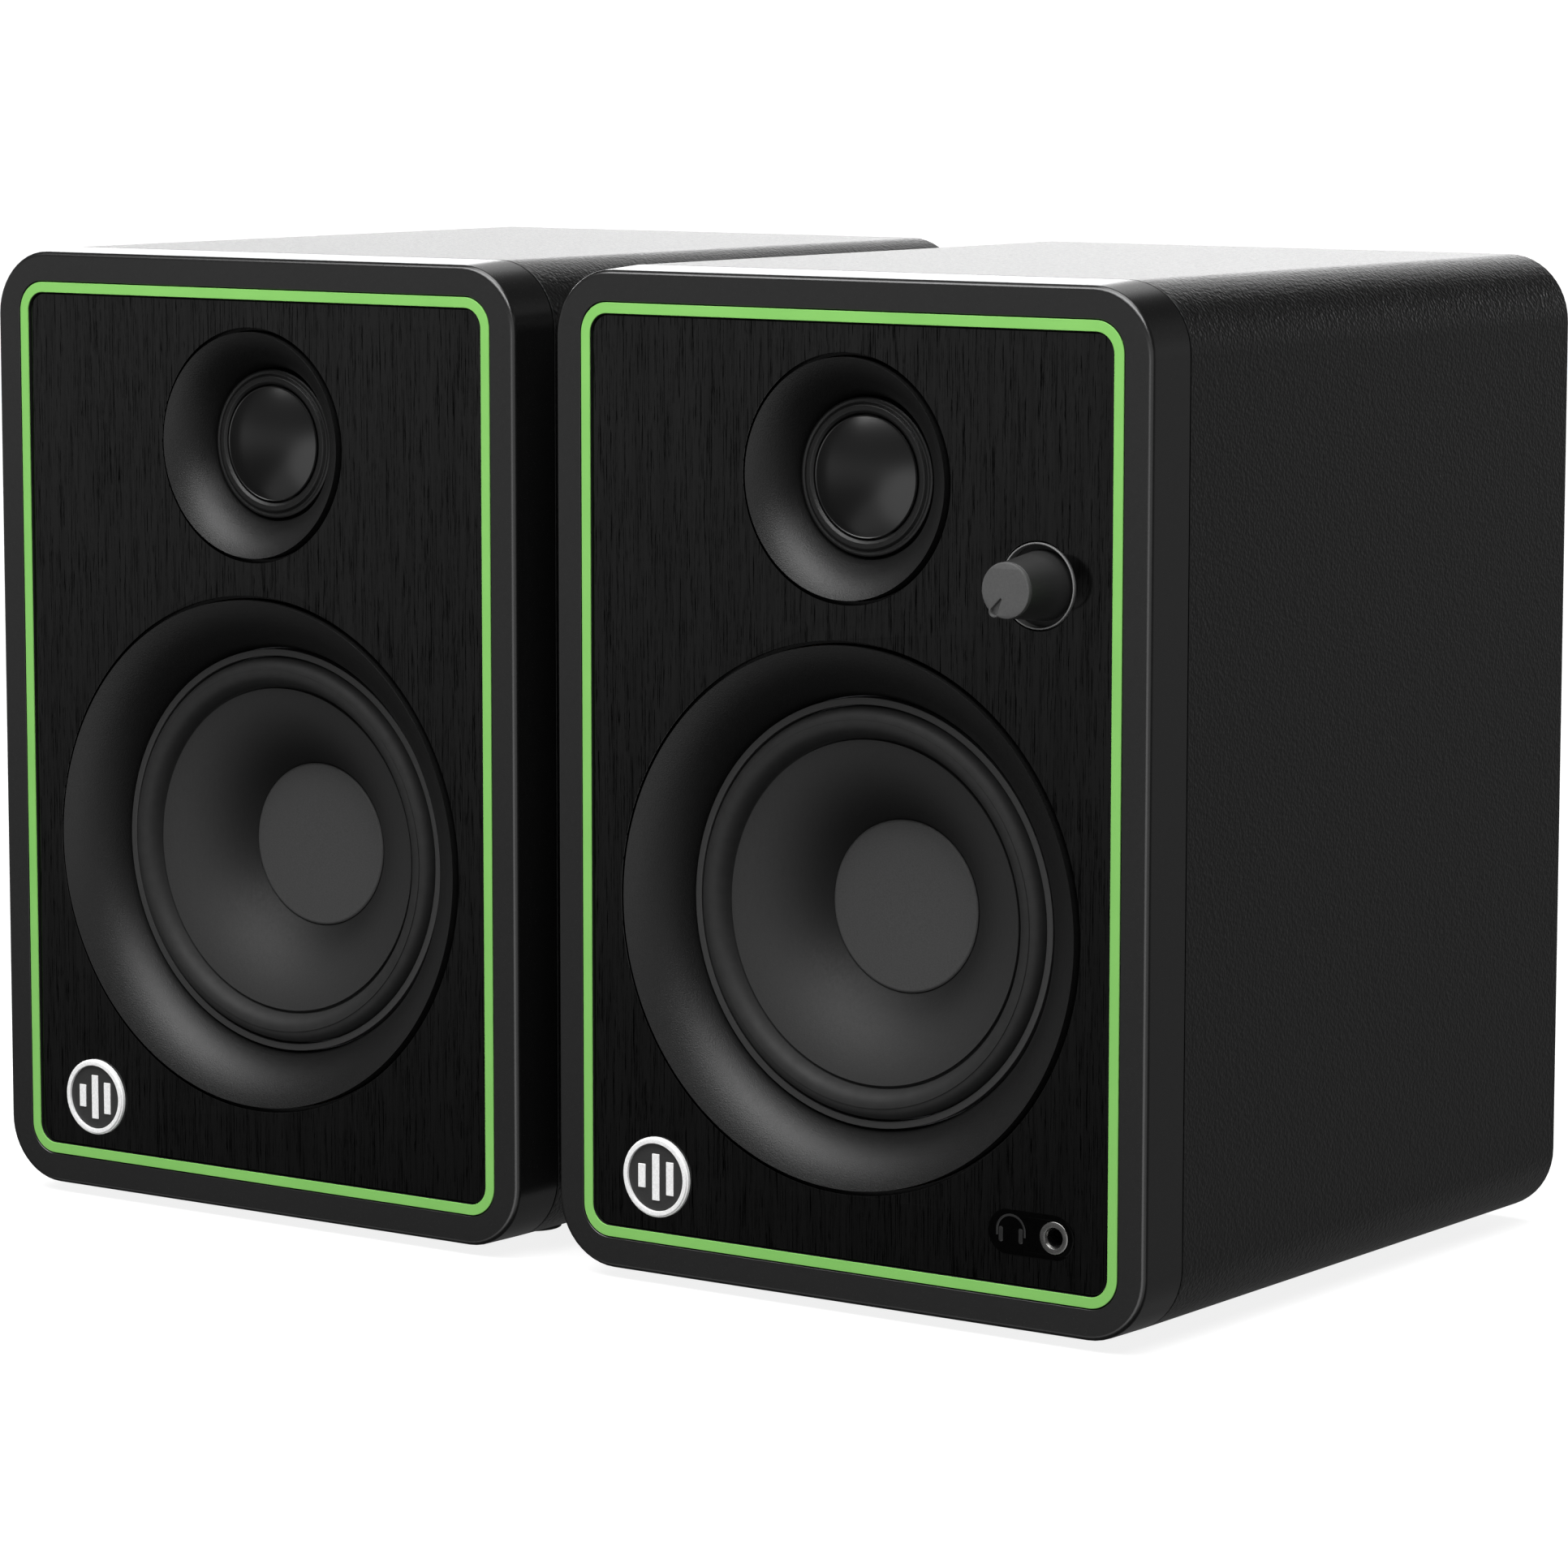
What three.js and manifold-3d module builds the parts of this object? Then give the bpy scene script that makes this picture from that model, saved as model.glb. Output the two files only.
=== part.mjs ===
// A pair of two-way bookshelf loudspeakers: an active speaker on the right that holds the
// amplifier and the controls, and a passive one on the left. Millimetres, +Z up, fronts facing -Y.
// The origin is under the middle of the pair, on the surface that it stands on.
import * as THREE from 'three';
import { mergeVertices } from 'three/addons/utils/BufferGeometryUtils.js';
import Module from 'manifold-3d';

const wasm = await Module();
wasm.setup();

// Driving dimensions. Inside a speaker x and z are measured from the middle of its front,
// and y is the depth behind its front plane; the pieces in front of that plane have negative y.
const WIDTH = 157.8;
const HEIGHT = 225.2;
const DEPTH = 180.1;
const BOX_RISE = 0.3; // the box's middle is this far above the fascia's
const BOX_RADIUS = 15.4;
const SPACING = 168.4;
const FOOT_HEIGHT = 2.5;
const KNOB_REACH = 11.7;
const SOCKET_REACH = 8;
const GAP = 0.3;

// Fascia, trim and plate
const BEZEL_DEPTH = 13.8;
const FACE_HALF_WIDTH = 78.35;
const FACE_HALF_HEIGHT = 112.2;
const FACE_RADIUS = 15;
const EDGE_ROUND = 1.2;
const TRIM_HALF_WIDTH = 71.15;
const TRIM_HALF_HEIGHT = 105;
const TRIM_RADIUS = 7;
const TRIM_BAND = 2.4;
const TRIM_DEPTH = 3;
const PLATE_RECESS = 0.8;
const FASCIA_WALL = 3;

// Wooden box
const BOARD = 9;
const BAFFLE_FRONT = 16.3;
const BAFFLE_THICKNESS = 12;
const BACK_RECESS = 2;

// Drivers
const WOOFER_Z = -27.1;
const WOOFER_LIP = 59.8;
const WOOFER_THROAT = 47.8;
const CONE_RADIUS = 38.2;
const CONE_EDGE_DEPTH = 11.5;
const CAP_RADIUS = 19.2;
const FORMER_RADIUS = 13.1;
const TWEETER_Z = 68.8;
const TWEETER_LIP = 26.3;
const TWEETER_THROAT = 17.5;
const DOME_RADIUS = 13.45;
const DOME_HEIGHT = 2.6;

// Controls
const KNOB_X = 49.6;
const KNOB_Z = 48.5;
const KNOB_BASE = 7.6;
const KNOB_CAP = 6;
const POINTER_CLOCK = 212;
const JACK_X = 54.9;
const JACK_Z = -91;
const LABEL_LEFT = 43;
const LABEL_ROUND = 5;
const BADGE_X = -51;
const BADGE_Z = -90;
const BADGE_RADIUS = 9.1;

// Back
const PORT_Z = 64;
const PORT_BORE = 17.5;
const AMP_Z = -34;
const AMP_HALF_WIDTH = 58;
const AMP_HALF_HEIGHT = 60;
const INLET_X = 30;
const SOCKET_XS = [-38, -20, -2];
const SOCKET_Z = -78;
const TERMINAL_Z = -40;
const LEVER_X = 11;
const LEVER_TILT = 25;

// Facets round a full turn
const COARSE = 16;
const MIDDLE = 20;
const FINE = 28;

// Depths that follow from the dimensions
const BOX_FRONT = BEZEL_DEPTH + GAP;
const BACK_OUTER = DEPTH - BACK_RECESS;
const BACK_INNER = BACK_OUTER - BOARD;
const PLATE_BACK = TRIM_DEPTH;
const WALL_FRONT = TRIM_DEPTH + GAP;
const WALL_BACK = WALL_FRONT + FASCIA_WALL;
const REAR_FACE = BACK_OUTER + GAP;
const FIXING_PLATE = 2;
const PIVOT_Y = REAR_FACE - 6.3;
const PIVOT_Z = TERMINAL_Z - 7;
const REAR_REACH = DEPTH + SOCKET_REACH;
const FRONT_Y = -(REAR_REACH - KNOB_REACH) / 2;
const INNER_HALF_WIDTH = WIDTH / 2 - BOARD;
const INNER_HALF_HEIGHT = HEIGHT / 2 - BOARD;
const BOX_BOTTOM = BOX_RISE - HEIGHT / 2;

const finish = (color, roughness, metalness = 0) =>
  new THREE.MeshStandardMaterial({ color, roughness, metalness });

const MATERIALS = {
  vinyl: finish(0x212121, 0.7),
  board: finish(0x9a7b55, 0.9),
  bezel: finish(0x2b2b2b, 0.55),
  green: finish(0x7ac65c, 0.4),
  plate: finish(0x1b1b1b, 0.25, 0.6),
  satin: finish(0x1f1f1f, 0.4),
  rubber: finish(0x262626, 0.7),
  cone: finish(0x2e2e2e, 0.75),
  cap: finish(0x383838, 0.6),
  silk: finish(0x303030, 0.8),
  steel: finish(0x8d9094, 0.4, 1),
  ferrite: finish(0x3a3a3c, 0.6, 0.3),
  spider: finish(0xb98a45, 0.9),
  knob: finish(0x3a3a3a, 0.45),
  light: finish(0x8f9090, 0.3),
  gloss: finish(0x0c0c0c, 0.1),
  nickel: finish(0xc9c9c6, 0.2, 1),
  silver: finish(0xc0c2c4, 0.25, 1),
  circuit: finish(0x1f5a35, 0.5),
  plastic: finish(0x151515, 0.5),
  red: finish(0xa82323, 0.45),
};

// Solids --------------------------------------------------------------------------------------

function signedVolume(geometry) {
  const position = geometry.attributes.position;
  const index = geometry.index.array;
  const [a, b, c] = [new THREE.Vector3(), new THREE.Vector3(), new THREE.Vector3()];
  let sum = 0;
  for (let i = 0; i < index.length; i += 3) {
    a.fromBufferAttribute(position, index[i]);
    b.fromBufferAttribute(position, index[i + 1]);
    c.fromBufferAttribute(position, index[i + 2]);
    sum += a.dot(b.cross(c)) / 6;
  }
  return sum;
}

// One closed mesh with shared vertices, no collapsed faces, and its faces pointing out.
function closed(geometry) {
  geometry.deleteAttribute('normal');
  geometry.deleteAttribute('uv');
  const merged = mergeVertices(geometry, 1e-4);
  const index = merged.index.array;
  const kept = [];
  for (let i = 0; i < index.length; i += 3) {
    const face = [index[i], index[i + 1], index[i + 2]];
    if (new Set(face).size === 3) kept.push(...face);
  }
  merged.setIndex(kept);
  if (signedVolume(merged) < 0) merged.setIndex(kept.reverse());
  return merged;
}

function toSolid(geometry) {
  const mesh = closed(geometry);
  const vertProperties = new Float32Array(mesh.attributes.position.array);
  const triVerts = new Uint32Array(mesh.index.array);
  return new wasm.Manifold(new wasm.Mesh({ numProp: 3, vertProperties, triVerts }));
}

function fromSolid(solid) {
  const mesh = solid.getMesh();
  const geometry = new THREE.BufferGeometry();
  geometry.setAttribute('position', new THREE.BufferAttribute(mesh.vertProperties, mesh.numProp));
  geometry.setIndex(Array.from(mesh.triVerts));
  return geometry;
}

const cut = (base, ...tools) =>
  fromSolid(tools.reduce((solid, tool) => solid.subtract(toSolid(tool)), toSolid(base)));

const join = (base, ...others) =>
  fromSolid(others.reduce((solid, other) => solid.add(toSolid(other)), toSolid(base)));

// Shapes --------------------------------------------------------------------------------------

function roundedRectangle(halfWidth, halfHeight, radius, x = 0, z = 0) {
  const shape = new THREE.Shape();
  const [w, h] = [halfWidth - radius, halfHeight - radius];
  shape.absarc(x + w, z + h, radius, 0, Math.PI / 2);
  shape.absarc(x - w, z + h, radius, Math.PI / 2, Math.PI);
  shape.absarc(x - w, z - h, radius, Math.PI, 1.5 * Math.PI);
  shape.absarc(x + w, z - h, radius, 1.5 * Math.PI, 2 * Math.PI);
  shape.closePath();
  return shape;
}

// An upright slab between two depths, cut from a shape drawn in x and z.
function slab(shape, front, back, round = 0) {
  const geometry = new THREE.ExtrudeGeometry(shape, {
    depth: back - front - 2 * round,
    curveSegments: 3,
    bevelEnabled: round > 0,
    bevelSize: round,
    bevelThickness: round,
    bevelOffset: -round,
    bevelSegments: 2,
  });
  geometry.rotateX(Math.PI / 2);
  geometry.translate(0, back - round, 0);
  return geometry;
}

// A solid through rounded rectangles, each [half width, half height, radius, middle z, depth].
function tapered(stations) {
  const loops = stations.map(([w, h, r, z, depth]) =>
    roundedRectangle(w, h, r, 0, z).getPoints(3).slice(0, -1).map((point) => [point.x, depth, point.y]));
  const count = loops[0].length;
  const last = (loops.length - 1) * count;
  const faces = [];
  for (let i = 1; i < count - 1; i += 1) faces.push(0, i + 1, i, last, last + i, last + i + 1);
  for (let start = 0; start < last; start += count) {
    for (let i = 0; i < count; i += 1) {
      const [a, b] = [start + i, start + ((i + 1) % count)];
      faces.push(a, b, b + count, a, b + count, a + count);
    }
  }
  const geometry = new THREE.BufferGeometry();
  geometry.setAttribute('position', new THREE.Float32BufferAttribute(loops.flat(2), 3));
  geometry.setIndex(faces);
  return geometry;
}

// A block given by its middle in x and z, its size in x and z, and its two depths.
function block(x, z, width, height, front, back) {
  return new THREE.BoxGeometry(width, back - front, height).translate(x, (front + back) / 2, z);
}

// A round bar along the depth.
function bar(x, z, radius, front, back, facets = MIDDLE) {
  return new THREE.CylinderGeometry(radius, radius, back - front, facets)
    .translate(x, (front + back) / 2, z);
}

// A turned piece round the depth axis; each point is [radius, depth].
function turned(points, x, z, facets) {
  const outline = points.map(([radius, depth]) => new THREE.Vector2(radius, depth));
  return new THREE.LatheGeometry(outline, facets).translate(x, 0, z);
}

const ring = (points, x, z, facets) => turned([...points, points[0]], x, z, facets);

// Points on an ellipse between two angles in degrees.
function ellipse(centreR, centreY, radiusR, radiusY, from, to, steps) {
  return Array.from({ length: steps + 1 }, (_, i) => {
    const angle = THREE.MathUtils.degToRad(from + ((to - from) * i) / steps);
    return [centreR + radiusR * Math.cos(angle), centreY + radiusY * Math.sin(angle)];
  });
}

function bezier(start, control, end, steps) {
  const curve = new THREE.QuadraticBezierCurve(
    new THREE.Vector2(...start), new THREE.Vector2(...control), new THREE.Vector2(...end));
  return curve.getPoints(steps).map((point) => [point.x, point.y]);
}

// Box and front -------------------------------------------------------------------------------

function cabinetSleeve() {
  const shape = roundedRectangle(WIDTH / 2, HEIGHT / 2, BOX_RADIUS, 0, BOX_RISE);
  shape.holes.push(roundedRectangle(INNER_HALF_WIDTH, INNER_HALF_HEIGHT, 5, 0, BOX_RISE));
  return slab(shape, BOX_FRONT, DEPTH);
}

const innerPanel = () =>
  roundedRectangle(INNER_HALF_WIDTH - GAP, INNER_HALF_HEIGHT - GAP, 5 - GAP, 0, BOX_RISE);

function baffle(active) {
  const board = slab(innerPanel(), BAFFLE_FRONT, BAFFLE_FRONT + BAFFLE_THICKNESS);
  const holes = [
    bar(0, WOOFER_Z, 49, 0, 40, FINE),
    bar(0, TWEETER_Z, 18, 0, 40),
  ];
  if (active) holes.push(bar(KNOB_X, KNOB_Z, 4, 0, 40, 12), bar(JACK_X, JACK_Z, 4, 0, 40, 12));
  return cut(board, ...holes);
}

function backPanel(active) {
  const board = slab(innerPanel(), BACK_INNER, BACK_OUTER);
  const window = active
    ? block(0, AMP_Z, 100, 104, 150, 200)
    : block(0, TERMINAL_Z, 52.8, 34.8, 150, 200);
  return cut(board, bar(0, PORT_Z, PORT_BORE + 3.3, 150, 200), window);
}

// Moulded frame that widens a little towards the box, with a recess for the plate.
function frontBezel(active) {
  const wall = 3;
  const rounding = [0, 45, 90].map((degrees) => {
    const angle = THREE.MathUtils.degToRad(degrees);
    const edge = EDGE_ROUND * (1 - Math.sin(angle));
    const depth = EDGE_ROUND * (1 - Math.cos(angle));
    return [FACE_HALF_WIDTH - edge, FACE_HALF_HEIGHT - edge, FACE_RADIUS - edge, 0, depth];
  });
  const body = tapered([...rounding, [WIDTH / 2, HEIGHT / 2, BOX_RADIUS, BOX_RISE, BEZEL_DEPTH]]);
  const pocket = roundedRectangle(TRIM_HALF_WIDTH + GAP, TRIM_HALF_HEIGHT + GAP, TRIM_RADIUS + GAP);
  const hollow = roundedRectangle(WIDTH / 2 - wall, HEIGHT / 2 - wall, BOX_RADIUS - wall, 0, BOX_RISE);
  const openings = [
    slab(pocket, -5, WALL_FRONT),
    slab(hollow, WALL_BACK, BEZEL_DEPTH + 5),
    bar(0, WOOFER_Z, WOOFER_LIP + GAP, -5, 20, FINE),
    bar(0, TWEETER_Z, TWEETER_LIP + GAP, -5, 20),
  ];
  if (active) openings.push(bar(KNOB_X, KNOB_Z, 3.6, -5, 20, 16), bar(JACK_X, JACK_Z, 3.9, -5, 20, 16));
  return cut(body, ...openings);
}

function trimBand() {
  const [w, h, r] = [TRIM_HALF_WIDTH, TRIM_HALF_HEIGHT, TRIM_RADIUS];
  const shape = roundedRectangle(w, h, r);
  shape.holes.push(roundedRectangle(w - TRIM_BAND, h - TRIM_BAND, r - TRIM_BAND));
  return slab(shape, 0, TRIM_DEPTH);
}

function frontPlate(active) {
  const inset = TRIM_BAND + GAP;
  const shape = roundedRectangle(TRIM_HALF_WIDTH - inset, TRIM_HALF_HEIGHT - inset, TRIM_RADIUS - inset);
  const holes = [
    bar(0, WOOFER_Z, WOOFER_LIP + 1, -5, 20, FINE),
    bar(0, TWEETER_Z, TWEETER_LIP + 1, -5, 20),
  ];
  if (active) holes.push(bar(KNOB_X, KNOB_Z, 9.6, -5, 20), bar(JACK_X, JACK_Z, 3.9, -5, 20, 16));
  return cut(slab(shape, PLATE_RECESS, PLATE_BACK), ...holes);
}

function badge() {
  const rim = 7.7;
  const front = -0.3;
  const back = PLATE_RECESS - GAP;
  const points = [
    [0, front + 0.5], [rim, front + 0.5], [rim, front],
    [BADGE_RADIUS - 0.2, front], [BADGE_RADIUS, front + 0.2], [BADGE_RADIUS, back], [0, back],
  ];
  return turned(points, BADGE_X, BADGE_Z, COARSE);
}

// Tweeter -------------------------------------------------------------------------------------

function tweeterWaveguide() {
  const back = 13.8;
  const flare = bezier([TWEETER_LIP - 0.1, 0], [19.4, 3.2], [TWEETER_THROAT, 11.6], 5);
  const points = [[TWEETER_LIP, 0.2], ...flare, [TWEETER_THROAT, back], [TWEETER_LIP, back]];
  return ring(points, 0, TWEETER_Z, MIDDLE);
}

function tweeterRing() {
  const [inner, outer] = [DOME_RADIUS + GAP, TWEETER_THROAT - GAP];
  const points = [[inner, 8.9], [14.2, 8.1], [15.9, 8.1], [outer, 9], [outer, 12], [inner, 12]];
  return ring(points, 0, TWEETER_Z, MIDDLE);
}

// Domed diaphragm with the tube that carries its voice coil.
function tweeterDome() {
  const sphere = (DOME_RADIUS ** 2 + DOME_HEIGHT ** 2) / (2 * DOME_HEIGHT);
  const base = 8.4;
  const depthAt = (radius) => base - DOME_HEIGHT + sphere - Math.sqrt(sphere ** 2 - radius ** 2);
  const skin = 0.5;
  const former = 12.7;
  const outside = [0, 5, 9.5, DOME_RADIUS].map((radius) => [radius, depthAt(radius)]);
  const inside = [8, 4, 0].map((radius) => [radius, depthAt(radius) + skin]);
  const tube = [
    [DOME_RADIUS, base + skin], [former, base + skin], [former, 18],
    [former - 0.4, 18], [former - 0.4, base],
  ];
  return turned([...outside, ...tube, ...inside], 0, TWEETER_Z, MIDDLE);
}

// Magnet, pole piece and top plate, with the round slot that the voice coil moves in.
function motor(z, pole, slot, outer, poleFront, plateFront, slotBack, back) {
  const points = [
    [0, poleFront], [pole, poleFront], [pole, slotBack], [slot, slotBack],
    [slot, plateFront], [outer, plateFront], [outer, back], [0, back],
  ];
  return turned(points, 0, z, COARSE);
}

// Woofer --------------------------------------------------------------------------------------

function wooferTrimRing() {
  const back = 13.6;
  const flare = bezier([WOOFER_LIP - 0.1, 0], [50.5, 3.6], [WOOFER_THROAT, 12.6], 5);
  const points = [[WOOFER_LIP, 0.2], ...flare, [WOOFER_THROAT, back], [WOOFER_LIP, back]];
  return ring(points, 0, WOOFER_Z, FINE);
}

// Half-roll of rubber between the frame and the cone.
function wooferSurround() {
  const centre = 42.35;
  const y = CONE_EDGE_DEPTH;
  const rimFront = 10.7;
  const [outer, inner] = [WOOFER_THROAT - GAP, CONE_RADIUS + GAP];
  const front = ellipse(centre, y, 3.35, -3, 0, 180, 5);
  const rear = ellipse(centre, y + 0.4, 2.45, -2.5, 180, 0, 3);
  const points = [
    [outer, rimFront], [45.9, rimFront], ...front, [inner, y], [inner, y + 0.8],
    ...rear, [44.8, 13.6], [outer, 13.6],
  ];
  return ring(points, 0, WOOFER_Z, FINE);
}

// Paper cone with the tube that carries the voice coil.
function wooferCone() {
  const neck = FORMER_RADIUS - 0.5;
  const front = bezier([CONE_RADIUS, CONE_EDGE_DEPTH], [22, 15.5], [13.6, 35], 5);
  const rear = bezier([14.6, 36], [22.8, 17.2], [CONE_RADIUS, CONE_EDGE_DEPTH + 0.9], 5);
  const tube = [[neck, 37], [neck, 58], [FORMER_RADIUS, 58], [FORMER_RADIUS, 37.6]];
  return ring([...front, ...tube, ...rear], 0, WOOFER_Z, FINE);
}

function wooferDustCap() {
  const front = 23.75;
  const points = [[0, front], [CAP_RADIUS - 0.6, front + 0.3], [CAP_RADIUS, front + 0.6],
    [CAP_RADIUS - 0.05, front + 1.1], [CAP_RADIUS - 1.2, front + 0.9], [0, front + 0.7]];
  return turned(points, 0, WOOFER_Z, FINE);
}

// Corrugated disc that centres the voice coil.
function wooferSpider() {
  const [inner, outer] = [FORMER_RADIUS + GAP, 32.8];
  const waves = 4;
  const front = Array.from({ length: waves + 1 }, (_, i) =>
    [inner + ((outer - inner) * i) / waves, 40 + (i % 2) * 1.4]);
  const rear = front.map(([radius, depth]) => [radius, depth + 0.8]).reverse();
  return ring([...front, ...rear], 0, WOOFER_Z, MIDDLE);
}

// Steel frame with four windows.
function wooferBasket() {
  const points = [
    [45.9, 13.9], [56, 13.9], [56, 16], [48.6, 16], [48.6, 18], [34.6, 46], [34.6, 53],
    [14.5, 53], [14.5, 51], [33, 51], [33, 45.4], [46.2, 18.4],
  ];
  const frame = ring(points, 0, WOOFER_Z, MIDDLE);
  return cut(frame, block(0, WOOFER_Z, 120, 30, 21, 38), block(0, WOOFER_Z, 30, 120, 21, 38));
}

// Controls ------------------------------------------------------------------------------------

// Tapered knob with a bore for its shaft, and a groove that shows where it points.
function volumeKnob() {
  const back = PLATE_BACK - 0.1;
  const bore = 3.3;
  const points = [
    [0, -KNOB_REACH], [KNOB_CAP - 0.5, -KNOB_REACH], [KNOB_CAP, -KNOB_REACH + 0.5],
    [KNOB_BASE, back], [bore, back], [bore, -7], [0, -7],
  ];
  const angle = THREE.MathUtils.degToRad(POINTER_CLOCK);
  const groove = new THREE.BoxGeometry(1.8, 1.6, 4.2)
    .translate(0, -KNOB_REACH, 5)
    .rotateY(angle)
    .translate(KNOB_X, 0, KNOB_Z);
  return cut(turned(points, KNOB_X, KNOB_Z, MIDDLE), groove);
}

const volumeShaft = () => bar(KNOB_X, KNOB_Z, 3, -6.7, WALL_BACK + 0.6, 16);

function volumePot() {
  const front = WALL_BACK + 0.9;
  return join(block(KNOB_X, KNOB_Z, 12, 13, front, 14.5), block(KNOB_X, KNOB_Z, 20, 24, 14.2, 15.8));
}

function lightRing() {
  const points = [[8.85, 0.6], [9.25, 0.6], [9.25, PLATE_BACK], [8.85, PLATE_BACK]];
  return ring(points, KNOB_X, KNOB_Z, MIDDLE);
}

function headphoneLabel() {
  const middle = (LABEL_LEFT + JACK_X) / 2;
  const halfLength = (JACK_X - LABEL_LEFT) / 2 + LABEL_ROUND;
  const pill = roundedRectangle(halfLength, LABEL_ROUND - 0.001, LABEL_ROUND - 0.002, middle, JACK_Z);
  return cut(slab(pill, 0.1, PLATE_RECESS - GAP), bar(JACK_X, JACK_Z, 3.9, -5, 5, 16));
}

// Socket with its nickel collar in front and its body behind the fascia.
function headphoneJack() {
  const collar = bar(JACK_X, JACK_Z, 3.6, 0.4, 7, 16);
  const body = block(JACK_X - 1, JACK_Z, 10, 9, WALL_BACK + GAP, 15.8);
  return cut(join(collar, body), bar(JACK_X, JACK_Z, 1.8, -5, 14, 12));
}

// Back ----------------------------------------------------------------------------------------

function portTube() {
  const [bore, outer, flange] = [PORT_BORE, PORT_BORE + 2.5, 27];
  const back = REAR_FACE + 2.5;
  const front = 112;
  const points = [
    [outer, front], [outer, REAR_FACE], [flange, REAR_FACE], [flange, back - 1], [flange - 1, back],
    [bore + 4, back], [bore + 1, back - 2], [bore, back - 6], [bore, front],
  ];
  return ring(points, 0, PORT_Z, MIDDLE);
}

// Aluminium plate with cooling fins, and openings for the inlet and the sockets.
function ampPlate() {
  const back = REAR_FACE + FIXING_PLATE;
  const plate = slab(
    roundedRectangle(AMP_HALF_WIDTH, AMP_HALF_HEIGHT, 4, 0, AMP_Z), REAR_FACE, back);
  const fins = [];
  const pitch = 10;
  for (let i = -4; i <= 4; i += 1) {
    fins.push(block(i * pitch, -8, 3, 50, back - 0.5, DEPTH + 6));
  }
  const holes = SOCKET_XS.map((x) => bar(x, SOCKET_Z, 4.6, 150, 200, 16));
  holes.push(block(INLET_X, SOCKET_Z, 24, 14, 150, 200));
  return cut(join(plate, ...fins), ...holes);
}

// Three phono sockets on one block: two inputs and the link to the passive speaker.
function lineSockets() {
  const middle = SOCKET_XS[1];
  const base = block(middle, SOCKET_Z, 50, 16, 171, BACK_OUTER);
  const barrels = SOCKET_XS.map((x) => bar(x, SOCKET_Z, 4.15, BACK_OUTER - 1, REAR_REACH, 16));
  const bores = SOCKET_XS.map((x) => bar(x, SOCKET_Z, 1.7, REAR_REACH - 9, REAR_REACH + 5, 10));
  return cut(join(base, ...barrels), ...bores);
}

// Two-pin mains inlet: a collar, a body and two pins in a recess.
function mainsInlet() {
  const collarFront = REAR_FACE + FIXING_PLATE + GAP;
  const floor = collarFront - 9;
  const body = block(INLET_X, SOCKET_Z, 23.4, 13.4, 166, collarFront + 1);
  const collar = block(INLET_X, SOCKET_Z, 30, 18, collarFront, collarFront + 2);
  const recess = roundedRectangle(8.2, 4.4, 4.2, INLET_X, SOCKET_Z);
  const shell = cut(join(body, collar), slab(recess, floor, 200));
  const pins = [-4.3, 4.3].map((x) => bar(INLET_X + x, SOCKET_Z, 1.2, floor - 1, collarFront, 8));
  return join(shell, ...pins);
}

function ampBoard() {
  const [front, back] = [158, 159.6];
  const board = block(0, AMP_Z, 92, 88, front, back);
  const capacitors = [-30, -10].map((x) => bar(x, -12, 8, 136, front + 0.5, 16));
  const chip = block(24, -14, 30, 22, 150, front + 0.5);
  return join(board, ...capacitors, chip);
}

function transformer() {
  const z = BOX_BOTTOM + BOARD + GAP + 23;
  const core = block(0, z, 57, 46, 92, 118);
  const winding = block(0, z, 34, 34, 82, 128);
  return join(core, winding);
}

// Recessed cup with two spring clips; the wire holes are in the step below the levers.
function terminalCup() {
  const [halfWidth, halfHeight, wall] = [26, 17, 2];
  const floor = REAR_FACE - 10;
  const flange = slab(roundedRectangle(32, 23, 3, 0, TERMINAL_Z), REAR_FACE, REAR_FACE + FIXING_PLATE);
  const body = block(0, TERMINAL_Z, 2 * halfWidth, 2 * halfHeight, floor - wall, REAR_FACE + 1);
  const pocket = block(0, TERMINAL_Z, 2 * (halfWidth - wall), 2 * (halfHeight - wall), floor, 200);
  const step = block(0, TERMINAL_Z - halfHeight + wall + 2, 44, 5, floor - 1, REAR_FACE - 2.3);
  const wires = [-LEVER_X, LEVER_X].map((x) =>
    bar(x, TERMINAL_Z - halfHeight + wall + 2, 1.4, floor + 1, 200, 8));
  return cut(join(cut(join(flange, body), pocket), step), ...wires);
}

// Lever that stands out at its upper end until it is pressed in.
function clipLever(x) {
  const length = 17;
  return join(
    new THREE.BoxGeometry(12, 3, length).translate(0, 0, length / 2),
    new THREE.CylinderGeometry(2, 2, 12, 12).rotateZ(Math.PI / 2),
  )
    .rotateX(THREE.MathUtils.degToRad(-LEVER_TILT))
    .translate(x, PIVOT_Y, PIVOT_Z);
}

function foot(x, y) {
  const height = FOOT_HEIGHT - GAP;
  const bottom = BOX_BOTTOM - FOOT_HEIGHT;
  return new THREE.CylinderGeometry(7, 7, height, 16)
    .rotateX(Math.PI / 2)
    .translate(x, y, bottom + height / 2);
}

// Assembly ------------------------------------------------------------------------------------

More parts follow.
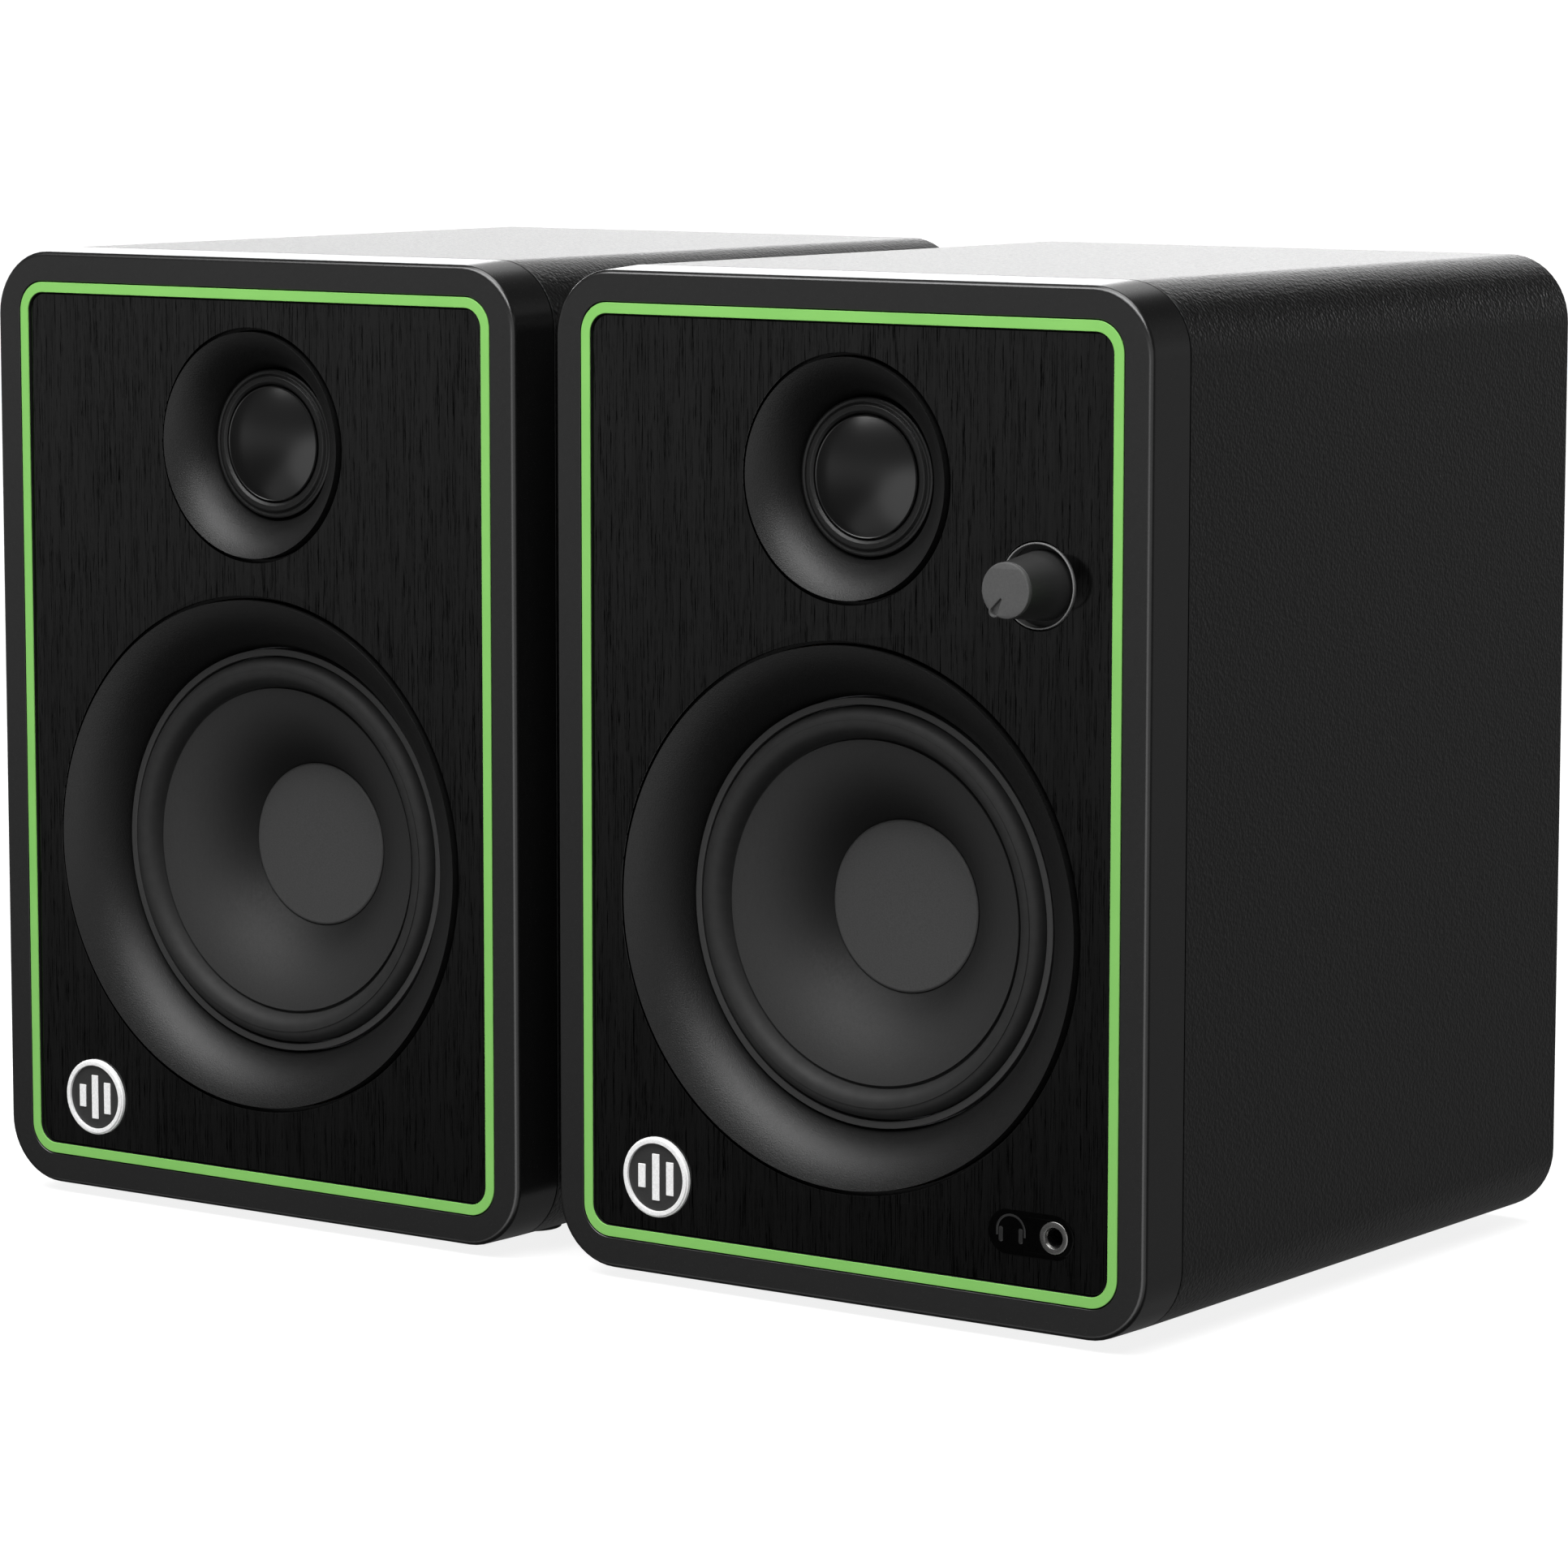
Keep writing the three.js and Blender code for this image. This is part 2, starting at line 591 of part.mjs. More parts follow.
function commonPieces(active) {
  const { vinyl, board, bezel, green, plate, satin, rubber, cone, cap, silk } = MATERIALS;
  const { steel, ferrite, spider, silver, plastic } = MATERIALS;
  const pieces = {
    cabinet: [cabinetSleeve(), vinyl],
    baffle: [baffle(active), board],
    back_panel: [backPanel(active), vinyl],
    front_bezel: [frontBezel(active), bezel],
    trim_band: [trimBand(), green],
    front_plate: [frontPlate(active), plate],
    badge: [badge(), silver],
    tweeter_waveguide: [tweeterWaveguide(), satin],
    tweeter_ring: [tweeterRing(), satin],
    tweeter_dome: [tweeterDome(), silk],
    tweeter_magnet: [motor(TWEETER_Z, 11.9, 13, 17, 12.3, 12.3, 20, 32), ferrite],
    woofer_trim_ring: [wooferTrimRing(), satin],
    woofer_surround: [wooferSurround(), rubber],
    woofer_cone: [wooferCone(), cone],
    woofer_dust_cap: [wooferDustCap(), cap],
    woofer_spider: [wooferSpider(), spider],
    woofer_basket: [wooferBasket(), steel],
    woofer_magnet: [motor(WOOFER_Z, 12.1, 13.7, 36, 50, 53.3, 64, 74), ferrite],
    port_tube: [portTube(), plastic],
  };
  for (const [end, y] of [['front', 36], ['rear', 160]]) {
    pieces[`foot_${end}_left`] = [foot(-54, y), rubber];
    pieces[`foot_${end}_right`] = [foot(54, y), rubber];
  }
  return pieces;
}

function activePieces() {
  const { steel, knob, light, gloss, nickel, circuit, plastic, silver } = MATERIALS;
  return {
    volume_knob: [volumeKnob(), knob],
    volume_shaft: [volumeShaft(), steel],
    volume_pot: [volumePot(), circuit],
    light_ring: [lightRing(), light],
    headphone_label: [headphoneLabel(), gloss],
    headphone_jack: [headphoneJack(), nickel],
    amp_plate: [ampPlate(), silver],
    amp_board: [ampBoard(), circuit],
    transformer: [transformer(), steel],
    line_sockets: [lineSockets(), nickel],
    mains_inlet: [mainsInlet(), plastic],
  };
}

function passivePieces() {
  const { plastic, red } = MATERIALS;
  return {
    terminal_cup: [terminalCup(), plastic],
    clip_lever_red: [clipLever(LEVER_X), red],
    clip_lever_black: [clipLever(-LEVER_X), plastic],
  };
}

function speaker(name, x, pieces) {
  const cabinet = new THREE.Group();
  for (const [piece, [geometry, material]] of Object.entries(pieces)) {
    const mesh = new THREE.Mesh(closed(geometry), material);
    mesh.name = `${name}_${piece}`;
    cabinet.add(mesh);
  }
  cabinet.position.set(x, FRONT_Y, FOOT_HEIGHT - BOX_BOTTOM);
  return cabinet;
}

const group = new THREE.Group();
group.add(speaker('active', SPACING / 2, { ...commonPieces(true), ...activePieces() }));
group.add(speaker('passive', -SPACING / 2, { ...commonPieces(false), ...passivePieces() }));

export default group;
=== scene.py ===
# A pair of two-way desktop speakers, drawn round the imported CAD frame. Everything is in metres in
# the CAD frame; the sizes of the speakers' pieces are given in millimetres from the middle of each
# front, with depth counted backwards from the front plane.
import math

import bmesh
import bpy
from mathutils import Matrix, Vector


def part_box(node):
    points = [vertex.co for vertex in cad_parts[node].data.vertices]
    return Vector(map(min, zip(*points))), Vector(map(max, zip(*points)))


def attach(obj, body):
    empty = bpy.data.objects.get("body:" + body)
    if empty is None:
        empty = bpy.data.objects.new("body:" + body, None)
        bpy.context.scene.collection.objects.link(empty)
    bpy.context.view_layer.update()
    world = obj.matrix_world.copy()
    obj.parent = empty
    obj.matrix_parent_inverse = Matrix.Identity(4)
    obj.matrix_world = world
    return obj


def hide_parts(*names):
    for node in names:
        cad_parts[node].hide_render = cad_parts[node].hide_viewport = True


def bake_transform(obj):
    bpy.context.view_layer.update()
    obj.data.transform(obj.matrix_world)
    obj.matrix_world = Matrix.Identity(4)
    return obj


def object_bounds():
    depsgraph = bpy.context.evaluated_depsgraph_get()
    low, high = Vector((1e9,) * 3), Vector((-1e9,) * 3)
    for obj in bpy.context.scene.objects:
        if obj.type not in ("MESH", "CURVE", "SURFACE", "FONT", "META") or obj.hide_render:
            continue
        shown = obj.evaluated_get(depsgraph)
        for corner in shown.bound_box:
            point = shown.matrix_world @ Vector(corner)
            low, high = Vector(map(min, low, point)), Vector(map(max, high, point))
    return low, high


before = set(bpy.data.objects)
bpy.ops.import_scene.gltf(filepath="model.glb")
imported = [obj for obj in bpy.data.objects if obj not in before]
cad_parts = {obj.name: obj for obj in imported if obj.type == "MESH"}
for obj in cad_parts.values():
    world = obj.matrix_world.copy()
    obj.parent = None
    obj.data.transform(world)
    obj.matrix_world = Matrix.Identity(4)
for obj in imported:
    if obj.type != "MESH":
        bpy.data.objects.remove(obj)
cad_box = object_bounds()

MM = 0.001
TURNS = 144
SHARP = 35.0
AT_ORIGIN = {"origin": Vector((0, 0, 0))}

# Fascia and box
TRIM = (71.15, 105.0, 7.0)
TRIM_BAND = 2.4
STRIP = 0.3
FACE = (78.35, 112.2, 15.0)
BOX = (78.9, 112.6, 15.4)
BOX_RISE = 0.3
BEZEL_DEPTH = 13.8
BEZEL_ROUND = 1.2
SEAM = 0.45
POCKET = (71.45, 105.3, 7.3)
SLEEVE_INSIDE = (69.9, 103.6, 5.0)
DEPTH = 180.1
PLATE = (68.4, 102.25, 4.3)
PLATE_FRONT = 0.8
PLATE_BACK = 3.0
WALL = (71.3, 105.15, 7.2)
WALL_FRONT = 3.3
WALL_BACK = 6.3
BACK_OUTER = 178.1
BACK_INNER = 169.1

# Drivers and controls, as (x, z) from the middle of the front
WOOFER = (0.0, -27.1)
TWEETER = (0.0, 68.8)
KNOB = (49.6, 48.5)
JACK = (54.9, -91.0)
LABEL_LEFT = 43.0
BADGE = (-51.0, -90.0)
BADGE_BARS = ((-3.9, 5.4), (0.0, 10.6), (3.9, 7.6))
PORT = (0.0, 64.0)
KNOB_REACH = 11.7
POINTER_CLOCK = 212.0

# Back
AMP = (0.0, -34.0)
AMP_HALF = (58.0, 60.0, 4.0)
SOCKET_XS = (-38.0, -20.0, -2.0)
SOCKET_Z = -78.0
INLET = (30.0, -78.0)
TERMINAL = (0.0, -40.0)
REAR_FACE = 178.4
SOCKET_END = 188.08
LEVER_TILT = 25.0


# Camera and stage ----------------------------------------------------------------------------

def add_object(name, data):
    piece = bpy.data.objects.new(name, data)
    bpy.context.scene.collection.objects.link(piece)
    return piece


def make_camera(front):
    """The camera stands to the right of the active speaker and a little above its middle."""
    offset = Vector((727.87, -1036.73, 168.33)) * MM
    yaw, pitch, roll = (math.radians(a) for a in (35.648, 7.4512, 0.030))
    level = math.cos(pitch)
    forward = Vector((-math.sin(yaw) * level, math.cos(yaw) * level, -math.sin(pitch)))
    data = bpy.data.cameras.new("camera")
    data.sensor_width = 36.0
    data.lens = 135.33
    data.clip_end = 50.0
    camera = add_object("camera", data)
    camera.location = front + offset
    camera.rotation_mode = "QUATERNION"
    tilt = Matrix.Rotation(roll, 3, "Z").to_quaternion()
    camera.rotation_quaternion = forward.to_track_quat("-Z", "Y") @ tilt
    bpy.context.scene.camera = camera


def make_stage():
    """A wide pale floor and far white walls. They light nothing, so that the fronts stay dark."""
    half, height = 12.0, 6.0
    ground = [(-half, -half, 0), (half, -half, 0), (half, half, 0), (-half, half, 0)]
    top = [(x, y, height) for x, y, _ in ground]
    stage_piece("floor", ground, [(0, 1, 2, 3)], 0.35, 0.85)
    walls = [(i, (i + 1) % 4, (i + 1) % 4 + 4, i + 4) for i in range(4)]
    stage_piece("far_walls", ground + top, walls, 0.0, 1.2)


def stage_piece(name, vertices, faces, albedo, glow):
    """A piece of the surroundings that the camera sees, but that gives no light or reflection."""
    mesh = bpy.data.meshes.new(name)
    mesh.from_pydata(vertices, [], faces)
    piece = add_object(name, mesh)
    material, _, shader = new_material(f"{name}_white", grey(albedo), 0.9, specular=0.0)
    shader.inputs["Emission Color"].default_value = (1, 1, 1, 1)
    shader.inputs["Emission Strength"].default_value = glow
    mesh.materials.append(material)
    piece.visible_glossy = False
    piece.visible_diffuse = False
    piece.visible_shadow = False


def make_lamp(name, place, target, size, watts):
    """A rectangular area lamp at a place, turned to a target."""
    data = bpy.data.lights.new(name, "AREA")
    data.shape = "RECTANGLE"
    data.size, data.size_y = size
    data.energy = watts
    lamp = add_object(name, data)
    lamp.location = place
    lamp.rotation_mode = "QUATERNION"
    lamp.rotation_quaternion = (Vector(target) - Vector(place)).to_track_quat("-Z", "Y")


def make_world():
    """Light from straight above, a bright low band behind the speakers, weaker patches round
    them and a dim room for the rest, which fades towards the floor in front."""
    world = bpy.data.worlds.new("studio")
    bpy.context.scene.world = world
    world.use_nodes = True
    tree = world.node_tree
    background = tree.nodes["Background"]
    direction = tree.nodes.new("ShaderNodeTexCoord").outputs["Generated"]
    split = tree.nodes.new("ShaderNodeSeparateXYZ")
    tree.links.new(direction, split.inputs[0])
    height = split.outputs["Z"]

    overhead = lobe(tree, direction, (0.0, 0.0, 1.0), 0.86, 0.94, 3.6)
    behind = lobe(tree, direction, (-0.58, 0.81, 0.0), 0.68, 0.88, 3.9)
    low_band = math_node(tree, "MULTIPLY", behind, ease(tree, height, 0.12, 0.3, 1.0, 0.0))
    above_floor = ease(tree, height, 0.0, 0.06, 0.0, 1.0)
    band_light = math_node(tree, "MULTIPLY", low_band, above_floor)
    front = lobe(tree, direction, (-0.58, -0.81, 0.0), 0.2, 0.8, 1.0)
    fade = math_node(tree, "MULTIPLY", front, ease(tree, height, -0.27, 0.0, 0.02, 0.31))
    fade = math_node(tree, "MULTIPLY", fade, ease(tree, height, 0.02, 0.15, 1.0, 0.3))
    glow = lobe(tree, direction, (0.568, -0.03, -0.822), 0.0, 0.06, 0.5)
    glow = math_node(tree, "MULTIPLY", glow, ease(tree, split.outputs["Y"], -0.5, -0.1, 1.0, 0.0))
    glow = math_node(tree, "MULTIPLY", glow, ease(tree, height, -0.8, -0.55, 0.0, 1.0))
    dome_glint = lobe(tree, direction, (0.04, -0.95, -0.32), 0.915, 0.95, 0.85)
    under = lobe(tree, direction, (-0.14, 0.81, -0.57), 0.86, 0.95, 0.09)
    shoulder = lobe(tree, direction, (-0.4, 0.81, 0.42), 0.93, 0.99, 0.9)
    side = lobe(tree, direction, (0.58, 0.81, -0.1), 0.7, 0.95, 0.12)

    room = ease(tree, height, -0.2, 0.0, 0.04, 0.1)
    total = math_node(tree, "MULTIPLY", room, ease(tree, height, 0.05, 0.3, 1.0, 0.2))
    for part in (overhead, band_light, fade, glow, dome_glint, under, shoulder, side):
        total = math_node(tree, "ADD", total, part)
    tree.links.new(total, background.inputs["Strength"])
    background.inputs["Color"].default_value = (1, 1, 1, 1)


def lobe(tree, direction, centre, start, end, strength):
    """Light round a direction: none at the cosine start, all of it from the cosine end on."""
    facing = tree.nodes.new("ShaderNodeVectorMath")
    facing.operation = "DOT_PRODUCT"
    facing.inputs[1].default_value = Vector(centre).normalized()
    tree.links.new(direction, facing.inputs[0])
    return ease(tree, facing.outputs["Value"], start, end, 0.0, strength)


def ease(tree, value, start, end, low, high):
    """Goes smoothly from low to high while value goes from start to end."""
    node = tree.nodes.new("ShaderNodeMapRange")
    node.interpolation_type = "SMOOTHSTEP"
    for name, number in (("From Min", start), ("From Max", end), ("To Min", low), ("To Max", high)):
        node.inputs[name].default_value = number
    tree.links.new(value, node.inputs["Value"])
    return node.outputs[0]


# Node materials ------------------------------------------------------------------------------

def new_material(name, color, roughness, metallic=0.0, specular=0.5):
    material = bpy.data.materials.new(name)
    material.use_nodes = True
    tree = material.node_tree
    shader = tree.nodes["Principled BSDF"]
    shader.inputs["Base Color"].default_value = (*color, 1)
    shader.inputs["Roughness"].default_value = roughness
    shader.inputs["Metallic"].default_value = metallic
    shader.inputs["Specular IOR Level"].default_value = specular
    return material, tree, shader


def set_ramp(ramp, stops):
    elements = ramp.color_ramp.elements
    while len(elements) > 1:
        elements.remove(elements[-1])
    elements[0].position, elements[0].color = stops[0]
    for place, color in stops[1:]:
        elements.new(place).color = color


def coords(tree, stretch=(1, 1, 1)):
    """Coordinates in metres, stretched along the axes."""
    source = tree.nodes.new("ShaderNodeTexCoord")
    mapping = tree.nodes.new("ShaderNodeMapping")
    mapping.inputs["Scale"].default_value = stretch
    tree.links.new(source.outputs["Object"], mapping.inputs[0])
    return mapping.outputs[0]


def noise(tree, vector, scale, detail=3.0, rough=0.5):
    node = tree.nodes.new("ShaderNodeTexNoise")
    node.inputs["Scale"].default_value = scale
    node.inputs["Detail"].default_value = detail
    node.inputs["Roughness"].default_value = rough
    tree.links.new(vector, node.inputs["Vector"])
    return node.outputs["Fac"]


def cells(tree, vector, scale, smooth=0.4):
    node = tree.nodes.new("ShaderNodeTexVoronoi")
    node.feature = "SMOOTH_F1"
    node.inputs["Scale"].default_value = scale
    node.inputs["Smoothness"].default_value = smooth
    tree.links.new(vector, node.inputs["Vector"])
    return node.outputs["Distance"]


def math_node(tree, operation, a, b):
    node = tree.nodes.new("ShaderNodeMath")
    node.operation = operation
    for socket, value in zip(node.inputs, (a, b)):
        if isinstance(value, (int, float)):
            socket.default_value = value
        else:
            tree.links.new(value, socket)
    return node.outputs[0]


def tint(tree, shader, factor, low, high, span=(0.3, 0.7)):
    """Base colour between two colours, by a factor."""
    ramp = tree.nodes.new("ShaderNodeValToRGB")
    set_ramp(ramp, [(span[0], (*low, 1)), (span[1], (*high, 1))])
    tree.links.new(factor, ramp.inputs[0])
    tree.links.new(ramp.outputs["Color"], shader.inputs["Base Color"])


def vary_roughness(tree, shader, factor, low, high):
    node = tree.nodes.new("ShaderNodeMapRange")
    node.inputs["To Min"].default_value = low
    node.inputs["To Max"].default_value = high
    tree.links.new(factor, node.inputs["Value"])
    tree.links.new(node.outputs[0], shader.inputs["Roughness"])


def relief(tree, shader, height, depth_mm, strength=1.0):
    bump = tree.nodes.new("ShaderNodeBump")
    bump.inputs["Strength"].default_value = strength
    bump.inputs["Distance"].default_value = depth_mm * MM
    tree.links.new(height, bump.inputs["Height"])
    tree.links.new(bump.outputs["Normal"], shader.inputs["Normal"])


def grey(level):
    return (level, level, level)


def vinyl():
    material, tree, shader = new_material("vinyl_wrap", grey(0.011), 0.5)
    vector = coords(tree)
    pebbles = cells(tree, vector, 1250.0)
    folds = noise(tree, vector, 650.0, 4.0)
    height = math_node(tree, "ADD", pebbles, folds)
    relief(tree, shader, height, 0.11)
    tint(tree, shader, noise(tree, vector, 900.0, 5.0), grey(0.002), grey(0.006))
    vary_roughness(tree, shader, pebbles, 0.27, 0.37)
    return material


def bezel_plastic():
    material, tree, shader = new_material("bezel_plastic", grey(0.006), 0.3, specular=0.86)
    vector = coords(tree)
    grain = noise(tree, vector, 3800.0, 2.0)
    tint(tree, shader, noise(tree, vector, 1500.0, 4.0), grey(0.004), grey(0.007))
    relief(tree, shader, grain, 0.008)
    vary_roughness(tree, shader, grain, 0.21, 0.3)
    return material


def satin_plastic():
    """Moulded black with a spark-eroded grain, as on the flares."""
    material, tree, shader = new_material("satin_plastic", grey(0.006), 0.4, specular=0.36)
    vector = coords(tree)
    grain = noise(tree, vector, 3200.0, 3.0, 0.7)
    tint(tree, shader, grain, grey(0.003), grey(0.009))
    relief(tree, shader, grain, 0.07)
    vary_roughness(tree, shader, noise(tree, vector, 700.0), 0.32, 0.42)
    return material


def green_plastic():
    material, tree, shader = new_material("green_plastic", (0.23, 0.565, 0.128), 0.38)
    vector = coords(tree)
    tint(tree, shader, noise(tree, vector, 60.0), (0.22, 0.55, 0.122), (0.24, 0.58, 0.134))
    relief(tree, shader, noise(tree, vector, 2500.0), 0.004)
    return material


def brushed_plate():
    """Black glossy metal with fine upright brush lines, the deeper ones darker."""
    material, tree, shader = new_material("brushed_plate", grey(0.002), 0.28)
    fine = noise(tree, coords(tree, (1, 1, 0.02)), 4800.0, 3.0, 0.75)
    broad = noise(tree, coords(tree, (1, 1, 0.03)), 700.0, 3.0, 0.6)
    lines = ease(tree, fine, 0.4, 0.45, 0.0, 1.0)
    sheen = math_node(tree, "MULTIPLY", lines, ease(tree, broad, 0.3, 0.7, 0.7, 1.0))
    tint(tree, shader, sheen, grey(0.0), grey(0.001), (0.0, 1.0))
    tree.links.new(ease(tree, sheen, 0.0, 1.0, 0.06, 0.5), shader.inputs["Specular IOR Level"])
    relief(tree, shader, fine, 0.0008)
    vary_roughness(tree, shader, sheen, 0.06, 0.1)
    return material


def rubber():
    material, tree, shader = new_material("soft_rubber", grey(0.012), 0.55, specular=0.4)
    vector = coords(tree)
    tint(tree, shader, noise(tree, vector, 500.0), grey(0.01), grey(0.014))
    relief(tree, shader, noise(tree, vector, 4000.0), 0.01)
    vary_roughness(tree, shader, noise(tree, vector, 300.0), 0.6, 0.74)
    return material


def paper(name, level, rough, shaded_level=None):
    """Pressed paper pulp: short fibres and fine pores. A cone gets painted shade deep inside."""
    material, tree, shader = new_material(name, grey(level), rough, specular=0.4)
    vector = coords(tree)
    pulp = noise(tree, vector, 2600.0, 5.0, 0.7)
    fibres = noise(tree, coords(tree, (1, 1, 0.25)), 1500.0, 4.0)
    tint(tree, shader, pulp, grey(level * 0.8), grey(level * 1.2))
    # painted shade: the cone's colour darkens deep inside, where shade falls
    if shaded_level is not None:
        paint_shade_inside(tree, shader, shaded_level)
    relief(tree, shader, math_node(tree, "ADD", pulp, fibres), 0.03)
    vary_roughness(tree, shader, fibres, rough - 0.08, rough + 0.08)
    return material


def paint_shade_inside(tree, shader, shaded_level):
    """Painted shade: fades the base colour from the rim of the cone towards its middle, by depth, standing
    in for the shade deep in the cone.
    """
    split = tree.nodes.new("ShaderNodeSeparateXYZ")
    tree.links.new(coords(tree), split.inputs[0])
    front = cad_box[0][1] + KNOB_REACH * MM
    share = ease(tree, split.outputs["Y"], front + 12.5 * MM, front + 23.0 * MM, 1.0, shaded_level)
    scale = tree.nodes.new("ShaderNodeVectorMath")
    scale.operation = "SCALE"
    source = shader.inputs["Base Color"].links[0].from_socket
    tree.links.new(source, scale.inputs[0])
    tree.links.new(share, scale.inputs["Scale"])
    tree.links.new(scale.outputs[0], shader.inputs["Base Color"])


def silk():
    """Coated fine-woven dome: two crossed thread directions."""
    material, tree, shader = new_material("dome_silk", grey(0.008), 0.25, specular=0.48)
    pitch = 4200.0
    across = tree.nodes.new("ShaderNodeTexWave")
    along = tree.nodes.new("ShaderNodeTexWave")
    for wave, direction in ((across, "X"), (along, "Z")):
        wave.bands_direction = direction
        wave.inputs["Scale"].default_value = pitch / 6.2832
        wave.inputs["Distortion"].default_value = 0.6
        tree.links.new(coords(tree), wave.inputs["Vector"])
    weave = math_node(tree, "MULTIPLY", across.outputs["Fac"], along.outputs["Fac"])
    tint(tree, shader, weave, grey(0.005), grey(0.011), (0.0, 1.0))
    relief(tree, shader, weave, 0.003)
    return material


def metal(name, color, rough, lines=900.0):
    material, tree, shader = new_material(name, color, rough, metallic=1.0)
    vector = coords(tree)
    wear = noise(tree, vector, lines, 3.0)
    darker = tuple(c * 0.86 for c in color)
    tint(tree, shader, wear, darker, color)
    vary_roughness(tree, shader, wear, rough * 0.85, rough * 1.2)
    relief(tree, shader, wear, 0.003)
    return material


def plastic(name, color, rough, grain=2500.0, depth=0.006):
    material, tree, shader = new_material(name, color, rough)
    vector = coords(tree)
    wear = noise(tree, vector, grain, 3.0)
    tint(tree, shader, wear, tuple(c * 0.88 for c in color), tuple(min(c * 1.08, 1) for c in color))
    vary_roughness(tree, shader, wear, rough * 0.9, rough * 1.12)
    relief(tree, shader, wear, depth)
    return material


def label_gloss():
    """Screened black lacquer with hardly any sheen."""
    material, tree, shader = new_material("label_gloss", grey(0.0005), 0.2, specular=0.06)
    vector = coords(tree)
    tint(tree, shader, noise(tree, vector, 800.0), grey(0.0003), grey(0.0008))
    relief(tree, shader, noise(tree, vector, 1500.0), 0.001)
    return material


def board():
    """Bare fibreboard."""
    material, tree, shader = new_material("bare_board", (0.33, 0.2, 0.1), 0.85)
    vector = coords(tree, (1, 1, 0.3))
    fibres = noise(tree, vector, 900.0, 6.0)
    tint(tree, shader, fibres, (0.24, 0.14, 0.07), (0.4, 0.26, 0.14))
    relief(tree, shader, fibres, 0.05)
    return material


def cloth():
    material, tree, shader = new_material("spider_cloth", (0.48, 0.25, 0.06), 0.9)
    threads = cells(tree, coords(tree), 1600.0)
    tint(tree, shader, threads, (0.3, 0.15, 0.03), (0.55, 0.3, 0.08))
    relief(tree, shader, threads, 0.1)
    return material


# Meshes --------------------------------------------------------------------------------------

def soften(points, closed=False, steps=4):
    """Rounds the corners of a profile. A point is (across, depth) or (across, depth, radius)."""
    count = len(points)
    result = []
    for i, point in enumerate(points):
        here = Vector(point[:2])
        radius = point[2] if len(point) > 2 else 0.0
        if radius <= 0 or (not closed and i in (0, count - 1)):
            result.append(tuple(here))
            continue
        before = Vector(points[i - 1][:2]) - here
        after = Vector(points[(i + 1) % count][:2]) - here
        half = before.angle(after) / 2
        reach = min(radius / math.tan(half), 0.49 * before.length, 0.49 * after.length)
        start = here + before.normalized() * reach
        end = here + after.normalized() * reach
        for k in range(steps + 1):
            t = k / steps
            result.append(tuple(start * (1 - t) ** 2 + here * (2 * t * (1 - t)) + end * t * t))
    return result


def arc(centre, radii, start, end, steps):
    """Points of an ellipse as (across, depth), between two angles in degrees."""
    angles = [math.radians(start + (end - start) * k / steps) for k in range(steps + 1)]
    return [(centre[0] + radii[0] * math.cos(a), centre[1] + radii[1] * math.sin(a)) for a in angles]


def bezier(start, control, end, steps):
    result = []
    for k in range(steps + 1):
        t = k / steps
        result.append(tuple((1 - t) ** 2 * a + 2 * t * (1 - t) * b + t * t * c
                            for a, b, c in zip(start, control, end)))
    return result


def outline(half_width, half_height, radius, steps=12):
    """A rounded rectangle as (x, z) points."""
    points = []
    for quarter, (sx, sz) in enumerate(((1, 1), (-1, 1), (-1, -1), (1, -1))):
        middle = (sx * (half_width - radius), sz * (half_height - radius))
        for k in range(steps + 1):
            angle = (quarter + k / steps) * math.pi / 2
            points.append((middle[0] + radius * math.cos(angle), middle[1] + radius * math.sin(angle)))
    return points


def circle(centre, radius, steps=96):
    angles = [2 * math.pi * k / steps for k in range(steps)]
    return [(centre[0] + radius * math.cos(a), centre[1] + radius * math.sin(a)) for a in angles]


def moved(points, centre):
    return [(x + centre[0], z + centre[1]) for x, z in points]


def join_rings(rings, closed):
    """Faces between neighbouring rings of vertex numbers; a ring of one vertex is a tip."""
    faces = []
    pairs = list(zip(rings, rings[1:]))
    if closed:
        pairs.append((rings[-1], rings[0]))
    for a, b in pairs:
        count = max(len(a), len(b))
        for i in range(count):
            j = (i + 1) % count
            corners = [a[i % len(a)], a[j % len(a)], b[j % len(b)], b[i % len(b)]]
            face = list(dict.fromkeys(corners))
            if len(face) > 2:
                faces.append(face)
    return faces


def mesh_piece(name, side, vertices, faces, sharp=SHARP):
    """A mesh from points in millimetres, placed on its speaker."""
    mesh = bpy.data.meshes.new(name)
    origin = side["origin"]
    mesh.from_pydata([origin + Vector(v) * MM for v in vertices], [], faces)
    work = bmesh.new()
    work.from_mesh(mesh)
    bmesh.ops.recalc_face_normals(work, faces=work.faces)
    work.to_mesh(mesh)
    work.free()
    piece = add_object(name, mesh)
    shade(piece, sharp)
    return piece


def shade(piece, sharp=SHARP):
    """Smooth shading, with normals weighted by area so that flat faces stay flat."""
    piece.data.shade_smooth()
    piece.data.set_sharp_from_angle(angle=math.radians(sharp))
    if "weighted" not in piece.modifiers:
        modifier = piece.modifiers.new("weighted", "WEIGHTED_NORMAL")
        modifier.keep_sharp = True


def lathe(name, side, centre, profile, closed=False, turns=TURNS, sharp=SHARP):
    """Turns a profile of (radius, depth) round the depth axis through centre."""
    vertices, rings = [], []
    for radius, depth in profile:
        start = len(vertices)
        steps = 1 if radius < 1e-6 else turns
        for k in range(steps):
            angle = 2 * math.pi * k / turns
            x = centre[0] + radius * math.cos(angle)
            z = centre[1] + radius * math.sin(angle)
            vertices.append((x, depth, z))
        rings.append(range(start, start + steps))
    return mesh_piece(name, side, vertices, join_rings(rings, closed), sharp)


